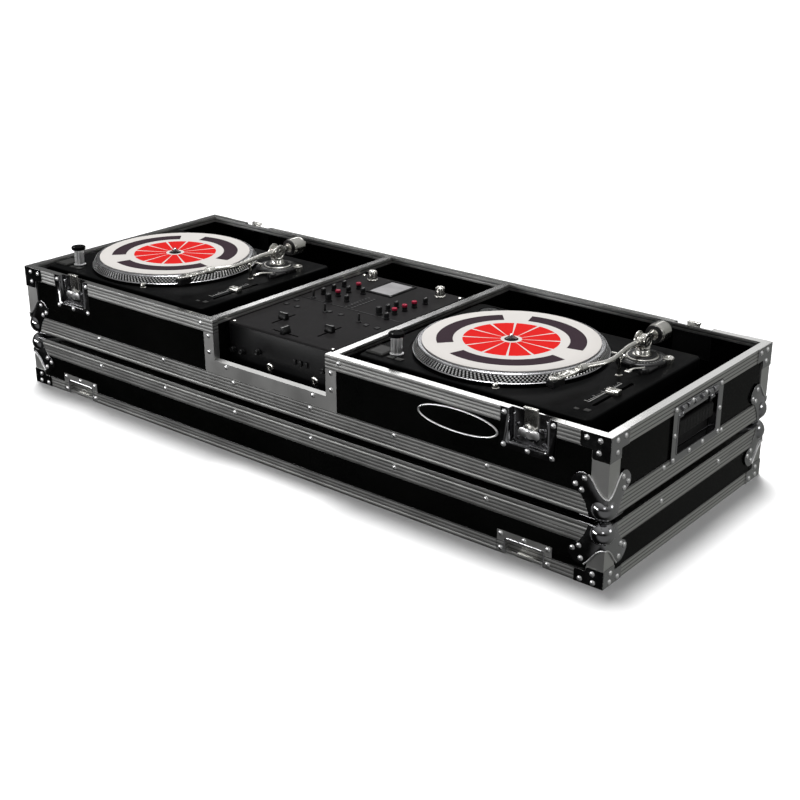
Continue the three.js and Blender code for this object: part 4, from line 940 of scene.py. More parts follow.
def makeDish(name, sx, sy, node, body, zEdge, up, pocketDrop, plateDrop):
    x = sx * 538
    dish = copyOfNode(node, "dish") if body == "tray" else None
    parts = []
    if dish:
        low = zEdge - up * plateDrop
        bevelSome(dish, lambda a, b: abs(a.z - low) < 0.05 and abs(b.z - low) < 0.05 and abs(a.x - b.x) < 0.01
                  and abs(abs(a.x - x) - 51) < 0.1 and abs(a.y) > 258 and abs(b.y) > 258, latch["cornerRadius"], 4)
        parts.append(dish)
    half, face = latch["half"] + 0.6, sy * 260.3
    floor = zEdge - up * (pocketDrop + 0.4)
    top = zEdge - up * 1.3
    path = [(x - half, face, top), (x - half, face, floor + up * 6), (x - half + 1.6, face, floor + up * 1.6),
            (x - half + 6, face, floor), (x + half - 6, face, floor), (x + half - 1.6, face, floor + up * 1.6),
            (x + half, face, floor + up * 6), (x + half, face, top)]
    parts.append(startTube("dishLip", path, latch["beadRadius"], sides=8, soft=False))
    piece = joined(f"{node}_pressing" if dish else f"{node}_lip_{name}", parts)
    evenShade(piece, 40)
    return piece


def makeLatch(name, sx, sy):
    x, node = sx * 538, f"latch_dish_{name}"
    dish = makeDish(name, sx, sy, node, "tray", 248, 1, 56, 67)
    back = sy * 250.5
    drum = startDrum("latchDrum", latch["drumRadius"], (x, back + sy * 0.1, 212), 1.6, "Y", 40)
    push(drum, lambda c, n: n.y * sy > 0.9, inset=3)
    push(drum, lambda c, n: n.y * sy > 0.9 and (c - Vector((x, c.y, 212))).length < 13, depth=-0.6)
    side = [startBox("latchRail", (x + s * 28, back, 196), (x + s * 33, back + sy * 3.4, 240)) for s in (-1, 1)]
    for rail in side:
        roundEdges(rail, 1.2, 2)
    studs = [startDrum("stud", 2.6, (x + dx, back + sy * 1.4, z), 3, "Y", 16)
             for dx, z in ((-23, 222), (23, 222), (-23, 200), (23, 200))]
    for stud in studs:
        push(stud, lambda c, n: n.y * sy > 0.9, inset=0.8, depth=0.6)
    works = joined(f"latch_works_{name}", [drum, *side, *studs])
    smooth(works, 40)
    finished(dish, "tray", plated, "plated_steel", node)
    finished(works, "tray", plated, "plated_steel")

    hook = copyOfNode(f"latch_hook_{name}", f"latch_hook_{name}_plate")
    roundEdges(hook, 0.6, 3)
    smooth(hook, 40)
    finished(hook, f"latch_hook_{name}", satinMetal, "plated_steel", f"latch_hook_{name}")

    key = startOutline("keyWings", latch["wing"], 2.8, Vector((1, 0, 0)), Vector((0, 0, 1)), Vector((0, sy, 0)),
                       (x, sy * 256.1, 214))
    roundEdges(key, 1.0, 3, 40)
    boss = startDrum("keyBoss", 9, (x, sy * 254.7, 214), 3, "Y", 32)
    push(boss, lambda c, n: n.y * sy > 0.9, inset=1.2, depth=0)
    cap = startDrum("keyCap", 4.6, (x, sy * 257.6, 214), 2.8, "Y", 24)
    push(cap, lambda c, n: n.y * sy > 0.9, inset=1.4, depth=0.4)
    piece = joined(f"latch_key_{name}_butterfly", [key, boss, cap])
    smooth(piece, 40)
    finished(piece, f"latch_key_{name}", rivetSteel, "plated_steel", f"latch_key_{name}")

    lip = makeDish(name, sx, sy, "keeper", "lid", 0, -1, 28, 40)
    tab = startBox("keeperTab", (x - 15, sy * 250.4, 1), (x + 15, sy * 258.6, 6.4))
    bevelSome(tab, lambda a, b: a.z > 5 and b.z > 5 and abs(a.y - b.y) < 0.1, 2, 3)
    finished(smooth(roundEdges(tab, 0.5, 2), 40), "lid", satinMetal, "plated_steel").name = f"keeper_tab_{name}"
    finished(lip, "lid", plated, "plated_steel")


for name, sx, sy in cornerNames:
    makeLatch(name, sx, sy)
print("dj case: latches made")


# End handles: dish with a rolled edge, rod with its springs, ribbed rubber grip

handle = {"pocket": (-61, 71, 150.3, 221.3), "bead": 1.3, "springRadius": 5.2, "wire": 0.9, "turns": 7, "ribs": 9}


def makeHandle(end, sx):
    dish = copyOfNode(f"handle_dish_{end}", "dish")
    y0, y1, z0, z1 = handle["pocket"]
    face = sx * 682.2
    bevelSome(dish, lambda a, b: abs(a.x - b.x) > 0.5 and (a - b).length < 3 and abs(a.x) > 680
              and (abs(a.y + 76.5) < 0.1 or abs(a.y - 86.5) < 0.1), 5, 3)
    smooth(dish, 40)
    path = [(face, y0 + 5, z0), (face, y1 - 5, z0), (face, y1 - 1.5, z0 + 1.5), (face, y1, z0 + 5),
            (face, y1, z1 - 5), (face, y1 - 1.5, z1 - 1.5), (face, y1 - 5, z1), (face, y0 + 5, z1),
            (face, y0 + 1.5, z1 - 1.5), (face, y0, z1 - 5), (face, y0, z0 + 5), (face, y0 + 1.5, z0 + 1.5)]
    bead = startTube("dishLip", path, handle["bead"], closed=True, sides=8, soft=False)
    smooth(bead, 40)
    knuckles = [startDrum("knuckle", 4.4, (face, 5 + y, 227.5), 13, "Y", 16) for y in (-52, -34, -12, 12, 34, 52)]
    knuckles = [roundEdges(knuckle, 1.6, 3) for knuckle in knuckles]
    pressing = joined(f"handle_dish_{end}_pressing", [dish, bead, *knuckles])
    finished(evenShade(pressing, 40), "tray", plated, "plated_steel", f"handle_dish_{end}")
    # painted shade: a black sheet at the pocket's back wall stands in for the shade and dark reflections inside the
    # chrome pocket
    liner = startBox("liner", (sx * 666.1, y0 + 1, z0 + 1), (sx * 667.3, y1 - 1, z1 - 1))
    finished(roundEdges(liner, 0.4, 1), "tray", rubber, "black_rubber").name = f"handle_pocket_shade_sheet_{end}"

    x, y, z = sx * 674.7, 5, 212.3
    rod = startDrum("gripRod", 3, (x, y, z), 131, "Y", 16)
    roundEdges(rod, 0.6, 2)
    coils = []
    for side in (-1, 1):
        spots = []
        for i in range(handle["turns"] * 8 + 1):
            turn = i * math.pi / 4
            spots.append((x + handle["springRadius"] * math.cos(turn), y + side * (44 + i * 2.1 / 8),
                          z + handle["springRadius"] * math.sin(turn)))
        coils.append(startTube("spring", spots, handle["wire"], sides=4))
    metal = joined(f"handle_grip_{end}_rod", [rod, *coils])
    smooth(metal, 50)
    finished(metal, f"handle_grip_{end}", plated, "plated_steel")

    grip = startBox("gripBar", (x - 5.5, y - 56, 176.3), (x + 5.5, y + 56, 202.3))
    bevelSome(grip, lambda a, b: abs(a.y - b.y) > 50, 4.6, 4)
    roundEdges(grip, 1.4, 2, 50)
    ribs = []
    for i in range(handle["ribs"]):
        rib = startBox("gripRib", (x - 5.9, y - 40 + i * 10 - 2.2, 179), (x + 5.9, y - 40 + i * 10 + 2.2, 199.6))
        ribs.append(roundEdges(rib, 0.9, 2))
    arms = []
    for side in (-1, 1):
        arm = startBox("gripArm", (x - 2, y + side * 48, 196), (x + 2, y + side * 56, z + 3))
        bevelSome(arm, lambda a, b: abs(a.x - b.x) > 3, 3, 3)
        arms.append(roundEdges(arm, 0.6, 2))
    rubberGrip = joined(f"handle_grip_{end}_rubber", [grip, *ribs, *arms])
    smooth(rubberGrip, 40)
    finished(rubberGrip, f"handle_grip_{end}", rubber, "black_rubber", f"handle_grip_{end}")


makeHandle("left", -1)
makeHandle("right", 1)
print("dj case: handles made")


# Turntables, each made in its own frame and copied to both bays:
# the spindle's axis is x = y = 0 and z = 0 is the plinth's top face

deck = {"left": -190, "right": 263, "half": 176.5, "split": 44, "low": 106.2, "inset": 5, "corner": 12, "bevel": 3,
        "platter": 166, "platterLift": 3.5, "platterTop": 18.5, "shoulder": 158, "spindle": 3.6, "tip": 30.5,
        "button": (-168, -137, 36, 42), "pitch": (236, -62, 118, 6), "pillar": (-140, -132), "lamp": (78, -154),
        "arm": (196, 94), "rest": (200, 14), "antiSkate": (234, 112), "adapter": (-150, 148)}


def deckPlace(side):
    low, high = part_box(f"{side}_platter")
    return (low.x + high.x) * 500, (low.y + high.y) * 500, low.z * 1000 - deck["platterLift"]


deckPlaces = {side: deckPlace(side) for side in ("left", "right")}


def bothDecks(piece, name, part, material, slot, *nodes):
    for side, place in deckPlaces.items():
        copied = twin(piece, f"{side}_{name}", shift(*place))
        finished(copied, f"{side}_{part}", material, slot, *[f"{side}_{node}" for node in nodes])
    drop(piece)


def roundedBlock(name, low, high, corner, edge):
    block = startBox(name, low, high)
    bevelSome(block, lambda a, b: abs(a.z - b.z) > 1 and abs(a.x - b.x) < 0.01 and abs(a.y - b.y) < 0.01, corner, 6)
    if edge:
        roundEdges(block, edge, 3, 40)
    return block


def makePlinth():
    d = deck
    body = roundedBlock("plinth", (d["left"], -d["half"], -d["split"]), (d["right"], d["half"], 0), d["corner"], d["bevel"])
    x, y, w, l = d["button"]
    cutWith(body, startBox("buttonWell", (x - w / 2 - 0.4, y - l / 2 - 0.4, -6), (x + w / 2 + 0.4, y + l / 2 + 0.4, 3)))
    x, y, l, w = d["pitch"]
    cutWith(body, startBox("pitchSlot", (x - w / 2, y - l / 2, -7), (x + w / 2, y + l / 2, 3)))
    cutWith(body, startDrum("adapterWell", 21, (*d["adapter"], 0), 5, sides=48))
    groove = startTurned("platterGroove", ((167.2, -1.4), (171, -1.4), (171, 1), (167.2, 1), (167.2, -1.4)), steps=96)
    cutWith(body, groove)
    smooth(body, 35)
    bothDecks(body, "plinth_top", "turntable", deckPaint, "deck_black", "plinth")

    base = roundedBlock("plinthBase", (d["left"] + 5, 5 - d["half"], -d["low"]), (d["right"] - 5, d["half"] - 5, 0.2 - d["split"]),
                        d["corner"], 1.5)
    feet = []
    for fx in (d["left"] + 48, d["right"] - 48):
        for fy in (48 - d["half"], d["half"] - 48):
            profile = ((0, -109.2), (26, -109.2), (29.5, -108), (30, -106), (28.5, -105), (28.5, -103), (0, -103))
            feet.append(startTurned("foot", profile, (fx, fy, 0), steps=24))
    whole = joined("plinthBase", [base, *feet])
    smooth(whole, 40)
    bothDecks(whole, "plinth_base", "turntable", rubber, "black_rubber")


def makePlatter():
    d = deck
    r, lift, top, neck, spindle = d["platter"], d["platterLift"], d["platterTop"], d["shoulder"], d["spindle"]
    profile = ((34.8, -0.2), (34.8, lift - 0.2), (r - 1, lift), (r, lift + 0.5), (r, lift + 1.6), (r - 0.6, lift + 2.1),
               (r - 1.6, lift + 2.2), (neck + 0.4, top - 2.2), (neck, top - 1.2), (neck - 0.8, top - 0.3), (neck - 2, top),
               (154, top), (153.4, top - 0.6), (151.2, top - 0.6), (150.6, top), (spindle + 4, top), (spindle + 3.4, top + 0.3),
               (spindle, top + 0.3), (spindle, d["tip"] - 2.6), (spindle - 0.7, d["tip"] - 1), (1.5, d["tip"] - 0.2), (0, d["tip"]))
    disc = startTurned("platter", profile, steps=128)
    smooth(disc, 35)
    bothDecks(disc, "platter_disc", "platter", turnedMetal, "turned_aluminium", "platter")
    low, high = Vector((r - 1.9, 0, lift + 2.5)), Vector((neck + 0.6, 0, top - 2.4))
    slope = (high - low).normalized()
    out = Vector((slope.z, 0, -slope.x))
    points = [low, low + out * 0.12, high + out * 0.12, high, low]
    band = startTurned("band", [(p.x, p.z) for p in points], steps=128)
    smooth(band, 35)
    bothDecks(band, "platter_band", "platter", plastic, "black_plastic")
    rows = []
    for row in range(4):
        middle = low.lerp(high, (row + 0.5) / 4)
        size = 1.15 if row % 2 else 0.95
        dot = startBox("dot", (-size, -1.35, -0.2), (size, 1.35, 0.75))
        push(dot, lambda c, n: n.z > 0.9, inset=0.35)
        place = Matrix((slope, Vector((0, 1, 0)), out)).transposed().to_4x4()
        place.translation = middle / 1000
        dot.data.transform(place)
        count = 144 + row * 4
        rows.append(ringOf(dot, count, (0, 0, 0)))
    dots = joined("dots", rows)
    bothDecks(dots, "platter_dots", "platter", rivetSteel, "turned_aluminium")


def makeSlipmats():
    for side, place in deckPlaces.items():
        low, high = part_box(f"{side}_slipmat")
        r, top, bottom = (high.x - low.x) * 500, (high.z - low.z) * 1000, 0
        profile = ((3.9, 0.1), (r - 0.8, 0.1), (r, 0.5), (r, 1.7), (r - 0.7, 2.1), (r * 0.8, 1.95), (r * 0.55, 2.1),
                   (r * 0.3, 1.98), (12, 2.1), (4.3, 2.0), (3.9, 1.6), (3.9, 0.1))
        mat = startTurned(f"{side}_slipmat_felt", profile, (place[0], place[1], low.z * 1000), steps=96)
        smooth(mat, 45)
        finished(mat, f"{side}_platter", makeFelt(f"printedFelt_{side}", (place[0] / 1000, place[1] / 1000, 0)),
                 "printed_felt", f"{side}_slipmat")


def makeDeckFittings():
    d = deck
    x, y = d["pillar"]
    pillar = startTurned("pillar", ((0, 0), (12, 0), (12, 1.4), (10.4, 2.2), (8, 2.6), (8, 31), (0, 31)), (x, y, 0), 32)
    flutes = ringOf(startDrum("flute", 1.9, (x + 8, y, 16.8), 28, sides=10), 10, (x, y, 0))
    bothDecks(smooth(joined("pillar", [pillar, flutes]), 40), "strobe_pillar", "turntable", rivetSteel, "satin_metal")
    metal = []
    x, y = d["lamp"]
    metal.append(startTurned("lamp", ((0, 0), (6.4, 0), (6.4, 1), (4.6, 1.6), (4.6, 6.4), (3.8, 8.2), (1.8, 9), (0, 9)), (x, y, 0), 24))
    x, y = d["antiSkate"]
    metal.append(startTurned("antiSkate", ((0, 0), (9, 0), (9, 3), (9.6, 3.6), (9.6, 9.6), (8.4, 11), (5, 11), (4.4, 10.4),
                                           (0, 10.4)), (x, y, 0), 32))
    metal.append(ringOf(startBox("knurl", (x + 9.2, y - 0.5, 4), (x + 10, y + 0.5, 9.4)), 30, (x, y, 0)))
    x, y = d["rest"]
    metal.append(startTurned("armRest", ((0, 0), (6, 0), (6, 1.2), (3.2, 2), (3.2, 27), (4, 28), (4, 31), (0, 31)), (x, y, 0), 24))
    cradle = startBox("cradle", (x - 6, y - 3, 29.6), (x + 6, y + 3, 32))
    metal.append(roundEdges(cradle, 0.8, 2))
    ax, ay = d["arm"]
    metal.append(startTurned("armPost", ((0, 12), (16, 12), (16, 13.6), (13, 14.2), (12.6, 15), (12.6, 21), (11.8, 22), (0, 22)),
                             (ax, ay, 0), 48))
    metal.append(startTurned("armCollar", ((24.2, 9), (27.4, 9), (27.4, 10.4), (26, 11.6), (24.2, 11.6), (24.2, 9)), (ax, ay, 0), 48))
    lift = startBox("cueArc", (ax - 40, ay - 34, 14), (ax - 12, ay - 29, 17))
    metal.append(roundEdges(lift, 1.2, 3))
    metal.append(startDrum("cuePost", 3, (ax - 15, ay - 31.5, 10), 12, sides=16))
    lx, ly = ax + 30, ay - 46
    metal.append(startTube("cueLever", ((lx, ly, 9), (lx - 4, ly - 14, 11.5), (lx - 7, ly - 26, 13.5), (lx - 9, ly - 34, 12)), 1.7))
    metal.append(roundEdges(startBox("cueTip", (lx - 14, ly - 40, 10.6), (lx - 4, ly - 30, 13)), 1, 3))
    bright = joined("deckMetal", metal)
    smooth(bright, 40)
    bothDecks(bright, "deck_metal", "turntable", satinMetal, "satin_metal")

    x, y = d["pillar"]
    cap = startTurned("cap", ((0, 31), (12.6, 31), (13.9, 32), (13.9, 36.6), (13, 37.8), (9, 37.9), (8.4, 37.3), (0, 37.3)), (x, y, 0), 48)
    bothDecks(smooth(cap, 40), "strobe_cap", "turntable", deckPaint, "black_plastic")
    dark = []
    dark.append(startTurned("armBase", ((0, 0), (42, 0), (42, 5.5), (41, 7.4), (38.6, 8.6), (36, 9), (29, 9), (28.4, 8.4), (24.4, 8.4),
                                        (24, 9), (24, 12.4), (23.2, 13), (17, 13), (16.4, 12.4), (0, 12.4)), (ax, ay, 0), 64))
    dark.append(ringOf(startBox("grip", (ax + 41.2, ay - 1.6, 1), (ax + 42.4, ay + 1.6, 6.4)), 36, (ax, ay, 0)))
    dark.append(startTurned("leverBase", ((0, 0), (9, 0), (9, 6), (8, 8), (6, 9), (0, 9)), (lx, ly, 0), 32))
    dark.append(roundEdges(startBox("leverHousing", (lx - 8, ly, 0), (lx + 10, ly + 30, 6)), 2, 3))
    black = joined("deckBlack", dark)
    smooth(black, 40)
    bothDecks(black, "deck_black_parts", "turntable", plastic, "black_plastic")

    # partly painted shade: an adapter disc in its well, in black plastic so that it also stands in for the shade of the
    # empty well
    adapter = startTurned("adapter", ((3.6, -2.3), (19, -2.3), (19, -0.6), (17, 0.4), (9, 1.4), (4.4, 1.6), (3.6, 1), (3.6, -2.3)),
                          (*d["adapter"], 0), 48)
    smooth(adapter, 40)
    bothDecks(adapter, "adapter", "turntable", plastic, "black_plastic")


def makeDeckMarks():
    d = deck
    x, y, length, width = d["pitch"]
    ticks = []
    for i in range(-8, 9):
        long = 9 if i % 4 == 0 else 5
        ticks.append(startBox("tick", (x - 14 - long, y + i * 6 - 0.35, -0.1), (x - 14, y + i * 6 + 0.35, 0.12)))
    ticks.append(startBox("scaleLine", (x - 14, y - 48.4, -0.1), (x - 13.3, y + 48.4, 0.12)))
    ax, ay = d["arm"]
    ticks.append(ringOf(startBox("heightTick", (ax + 30.4, ay - 0.3, 8.9), (ax + 34.6, ay + 0.3, 9.1)), 40, (ax, ay, 0)))
    px, py = d["pillar"]
    ticks.append(startBox("powerMark", (px - 0.6, py - 12.4, 37.7), (px + 0.6, py - 9.6, 38)))
    marks = joined("deckMarks", ticks)
    bothDecks(marks, "deck_marks", "turntable", markInk, "satin_metal")
    bx, by, w, l = d["button"]
    keys = [roundEdges(startBox("speedKey", (bx + 26 + i * 17, by - 20, -0.5), (bx + 40 + i * 17, by - 10, 1.6)), 0.6, 2)
            for i in (0, 1)]
    keys.append(roundEdges(startBox("pitchLight", (x - 18, -149, -0.4), (x - 10, -143, 0.9)), 0.4, 2))
    keys.append(roundEdges(startBox("resetKey", (x - 2, -147, -0.4), (x + 8, -138, 1.4)), 0.5, 2))
    small = joined("deckKeys", keys)
    smooth(small, 40)
    bothDecks(small, "deck_keys", "turntable", keyGrey, "satin_metal")


def makeDeckControls():
    d = deck
    x, y, w, l = d["button"]
    key = roundEdges(startBox("startKey", (x - w / 2, y - l / 2, -3), (x + w / 2, y + l / 2, 3)), 1.2, 3)
    push(key, lambda c, n: n.z > 0.9 and c.z > 2, inset=2.4, depth=0)
    push(key, lambda c, n: n.z > 0.9 and abs(c.x - x) < 3 and abs(c.y - y) < 3, inset=0.3, depth=-0.4)
    smooth(key, 40)
    bothDecks(key, "start_key", "start_button", keyGrey, "satin_metal", "start_button")
    x, y = d["pitch"][:2]
    knob = startBox("pitchKnob", (x - 11, y - 7.5, 0.3), (x + 11, y + 7.5, 9))
    bevelSome(knob, lambda a, b: a.z > 8 and b.z > 8 and abs(a.y - b.y) < 0.1, 3, 4)
    roundEdges(knob, 0.8, 2, 30)
    grooves = [startBox("line", (x - 9.6, y - 0.5, 8.6), (x + 9.6, y + 0.5, 9.3))]
    grooves += [startBox("line", (x - 9.6, y + s * 3 - 0.35, 8.4), (x + 9.6, y + s * 3 + 0.35, 9.2)) for s in (-1, 1)]
    for groove in grooves:
        cutWith(knob, groove)
    stem = startBox("pitchStem", (x - 2.7, y - 5, -6.4), (x + 2.7, y + 5, 2))
    slider = joined("pitchKnob", [knob, stem])
    smooth(slider, 40)
    bothDecks(slider, "pitch_knob", "pitch_slider", satinMetal, "satin_metal", "pitch_slider")


makePlinth()
makePlatter()
makeSlipmats()
makeDeckFittings()
makeDeckMarks()
makeDeckControls()
print("dj case: turntables made")


# Tonearm, made about its own pivot: x across, y along the arm with the counterweight behind

arm = {"height": 37, "length": 248, "tube": 4.4, "turn": math.radians(8),
       "path": ((0, 0), (-0.016, -0.14), (0.016, -0.32), (0.036, -0.44), (0.03, -0.53), (-0.008, -0.61), (-0.03, -0.66)),
       "shell": ((-5.5, 0), (5.5, 0), (8, -6), (9.4, -14), (9.5, -38), (8, -54), (5.5, -62), (3, -64), (-3, -64),
                 (-5.5, -62), (-8, -54), (-9.5, -38), (-9.4, -14), (-8, -6)),
       "weight": ((0, 33), (9, 33), (9, 35), (15.5, 36), (16.4, 37), (16.4, 39.4), (15.8, 40), (16.9, 41), (17, 44), (17, 60),
                  (16.9, 64), (15.6, 66.4), (12, 67), (7, 67), (6.4, 66), (0, 66))}


def alongArm(piece):  # turns a piece spun about z so that its axis runs along +y
    piece.data.transform(Matrix.Rotation(math.radians(-90), 4, "X"))
    return piece


def makeGimbal():
    parts = [startTurned("yokeBase", ((0, -14.7), (12.4, -14.7), (13, -14), (13, -11.6), (12, -10.7), (0, -10.7)), steps=40)]
    for side in (-1, 1):
        cheek = startTurned("cheek", ((0, 7.4), (13.4, 7.4), (14, 8), (14, 9.7), (13.4, 10.3), (10.6, 10.3), (10.2, 9.7), (6.2, 9.7),
                                      (5.8, 10.3), (4, 10.4), (2.4, 9.8), (0, 9.8)), steps=48)
        cheek.data.transform(Matrix.Rotation(math.radians(90 * side), 4, "Y"))
        parts.append(cheek)
    yoke = joined("yoke", parts)
    smooth(yoke, 40)
    return yoke


def makeArm():
    tube = startTube("armTube", [(x * arm["length"], y * arm["length"], 0) for x, y in arm["path"]], arm["tube"], sides=16)
    stub = alongArm(startTurned("stub", ((0, 0), (5.9, 0), (5.9, 70), (5.2, 71), (5.2, 78.6), (4.2, 80), (0, 80)), steps=32))
    weight = alongArm(startTurned("weight", arm["weight"], steps=64))
    block = roundEdges(startBox("pivotBlock", (-7, -11, -7.5), (7, 11, 7.5)), 1.4, 3)
    push(block, lambda c, n: n.z > 0.9 and c.z > 7, inset=2.5, depth=-0.5)
    screws = [startDrum("pivotScrew", 2.2, (0, y, 7.6), 1.2, sides=16) for y in (-6, 6)]
    screws.append(startDrum("topScrew", 3.4, (0, 0, 7.8), 1.6, sides=24))
    nose = alongArm(startTurned("armNose", ((0, -19), (4.9, -19), (5.9, -18), (5.9, -11), (7, -9.8), (0, -9.8)), steps=32))
    tip = [share * arm["length"] for share in arm["path"][-1]]
    head = [alongArm(startTurned("collar", ((0, -20), (5, -20), (5.6, -19.4), (5.6, -15), (6.9, -14.4), (6.9, -4.4), (6, -3.6),
                                            (6, -0.6), (5, 0), (0, 0)), steps=32))]
    shell = startOutline("headshell", arm["shell"], 4, Vector((1, 0, 0)), Vector((0, 1, 0)), Vector((0, 0, 1)), (0, -19.7, -2))
    cutWith(shell, startBox("slotLeft", (-6, -66, -4), (-3.4, -40, 4)))
    cutWith(shell, startBox("slotRight", (3.4, -66, -4), (6, -40, 4)))
    head.append(roundEdges(shell, 0.6, 2, 50))
    head += [startDrum("cartridgeScrew", 1.9, (x, -58, 2.4), 1.6, sides=12) for x in (-4.7, 4.7)]
    head.append(startTube("fingerLift", ((8, -50, 0.5), (13, -54, 1.5), (17, -60, 3.5), (18.5, -66, 5)), 1.1, sides=6))
    turn = Matrix.Translation((tip[0] / 1000, tip[1] / 1000, 0)) @ Matrix.Rotation(-arm["turn"], 4, "Z")
    for piece in head:
        piece.data.transform(turn)
    whole = joined("armMetal", [tube, stub, weight, block, *screws, nose, *head])
    smooth(whole, 40)
    low = 21.8 - arm["height"]
    cartridge = startBox("cartridge", (-8, -83.7, low + 3), (8, -57.7, -2.1))
    bevelSome(cartridge, lambda a, b: a.z < low + 4 and b.z < low + 4 and abs(a.y - b.y) < 0.1, 2.5, 3)
    roundEdges(cartridge, 0.7, 2)
    stylus = startBox("stylusGuard", (-4, -82.5, low), (4, -70, low + 3.2))
    bevelSome(stylus, lambda a, b: a.z < low + 1 and b.z < low + 1 and abs(a.y - b.y) < 0.1, 1.4, 2)
    cartridge.data.transform(turn)
    stylus.data.transform(turn)
    dark = joined("cartridge", [cartridge, stylus])
    dial = alongArm(startTurned("dial", ((9.2, 32.6), (15.2, 32.6), (15.4, 33), (15.4, 35.8), (9.2, 35.8), (9.2, 32.6)), steps=48))
    return whole, joined("armBlack", [dark, dial])


def setArms():
    x, y = deck["arm"]
    for piece, name, part, material, slot, nodes in (
            (makeGimbal(), "gimbal_yoke", "gimbal", satinMetal, "satin_metal", ["gimbal"]),):
        piece.data.transform(shift(x, y, arm["height"]))
        bothDecks(piece, name, part, material, slot, *nodes)
    metal, dark = makeArm()
    for piece, name, material, slot, nodes in ((metal, "tonearm_metal", satinMetal, "satin_metal", ["tonearm"]),
                                               (dark, "tonearm_black", plastic, "black_plastic", [])):
        piece.data.transform(shift(x, y, arm["height"]))
        bothDecks(piece, name, "tonearm", material, slot, *nodes)


setArms()
print("dj case: tonearms made")


# Mixer, made in its own frame: x = y = 0 is its middle and z = 0 is its top face

def mixerOrigin():
    low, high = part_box("mixer_body")
    return (low.x + high.x) * 500, (low.y + high.y) * 500, high.z * 1000


mixerPlace = mixerOrigin()
desk = {"halfX": 127, "halfY": 188, "low": 97.5, "cross": -172, "line": (56, -118), "slot": (31, 2.2), "level": (84, 164),
        "eq": (62, 10), "display": (-41, 103, 12, 173),
        "knobs": ((-98, 36, 0), (-98, 66, 0), (-98, 96, 0), (-68, 44, 1), (-68, 74, 0), (-68, 104, 1), (-34, 30, 0),
                  (84, 28, 1), (86, 55, 1), (87, 82, 1), (91, 110, 0), (62, 36, 0), (62, 60, 0), (90, -2, 0), (-40, 84, 0)),
        "levers": ((-24, -42), (62, -46), (-98, 8)),
        "squares": ((-112, -52), (-112, -24), (-84, -52), (-18, -36), (10, -36), (110, -52), (84, -52)),
        "frontKnobs": ((-113, -50), (-91, -50), (-51, -42), (107, -39)), "jacks": ((-24, -66), (84, -66)),
        "switches": ((38, -40), (52, -40), (66, -40))}


def onMixer(piece, name, body, material, slot, *nodes):
    piece.data.transform(shift(*mixerPlace))
    piece.name = piece.data.name = name
    return finished(piece, body, material, slot, *nodes)


def makeMixerBody():
    hx, hy, low = desk["halfX"], desk["halfY"], desk["low"]
    body = roundedBlock("mixerCase", (-hx, -hy, -low), (hx, hy, 0), 4, 2)
    long, thin = desk["slot"]
    lineX, lineY = desk["line"]
    cutWith(body, startBox("slot", (-long, desk["cross"] - thin, -8), (long, desk["cross"] + thin, 3)))
    for sx in (-1, 1):
        cutWith(body, startBox("slot", (sx * lineX - thin, lineY - long, -8), (sx * lineX + thin, lineY + long, 3)))
    smooth(body, 35)
    onMixer(body, "mixer_case", "mixer", mixerPaint, "mixer_grey", "mixer_body")

    dark = [roundEdges(startBox("frontPlate", (4 - hx, -hy - 0.7, 6 - low), (hx - 4, -hy + 1, -4)), 0.4, 2)]
    dark.append(roundEdges(startBox("ridge", (-121, -2, -0.2), (121, 0, 0.8)), 0.3, 2))
    x0, y0, x1, y1 = desk["display"]
    bezel = roundEdges(startBox("bezel", (x0 - 5, y0 - 5, -0.2), (x1 + 5, y1 + 5, 2.2)), 0.8, 3)
    push(bezel, lambda c, n: n.z > 0.9 and c.z > 2, inset=3.6)
    push(bezel, lambda c, n: n.z > 0.9 and c.z > 2 and abs(c.x - (x0 + x1) / 2) < 4 and abs(c.y - (y0 + y1) / 2) < 4, depth=-0.9)
    dark.append(bezel)
    for x, y in desk["squares"]:
        dark.append(roundEdges(startBox("pad", (x - 4.5, y - 4.5, -0.2), (x + 4.5, y + 4.5, 1.8)), 0.7, 2))
    for x, y in desk["levers"]:
        dark.append(startTurned("leverFoot", ((0, 0), (4.6, 0), (4.6, 1.6), (3.4, 2.2), (2.4, 3.4), (0, 3.4)), (x, y, 0), 20))
        dark.append(startTurned("lever", ((0, 2), (2.1, 2), (2.1, 15), (1.6, 16), (0, 16)), (x, y, 0), 12))
    for sx in (-1, 1):
        for sy in (-1, 1):
            dark.append(startTurned("foot", ((0, -100.5), (13.6, -100.5), (15, -99.6), (15, -97.4), (0, -97.4)),
                                    (sx * 97, sy * 158, 0), 24))
    for i in range(9):
        for x in (-14, 0):
            dark.append(roundEdges(startBox("meterBar", (x - 2.5, 4 + i * 8, -0.1), (x + 2.5, 8.4 + i * 8, 0.7)), 0.2, 1))
    parts = joined("mixerDark", dark)
    smooth(parts, 40)
    onMixer(parts, "mixer_dark_parts", "mixer", plastic, "black_plastic")

    glass = startBox("glass", (x0 - 1, y0 - 1, 0.2), (x1 + 1, y1 + 1, 1.5))
    onMixer(roundEdges(glass, 0.2, 1), "mixer_display", "mixer", displayGlass, "satin_metal")


def spunKnob(radius, height, flutes, low=0.3):
    profile = ((0, low), (radius, low), (radius, 2.4), (radius * 0.94, 3.2), (radius * 0.8, 3.6), (radius * 0.76, height - 1.2),
               (radius * 0.7, height - 0.3), (radius * 0.6, height), (radius * 0.5, height - 0.4), (0, height - 0.4))
    knob = startTurned("knob", profile, steps=32)
    if not flutes:
        return knob
    flute = startDrum("flute", radius * 0.085, (radius * 0.76, 0, height / 2 + 1), height - 5, sides=6)
    return joined("knob", [knob, ringOf(flute, flutes, (0, 0, 0))])


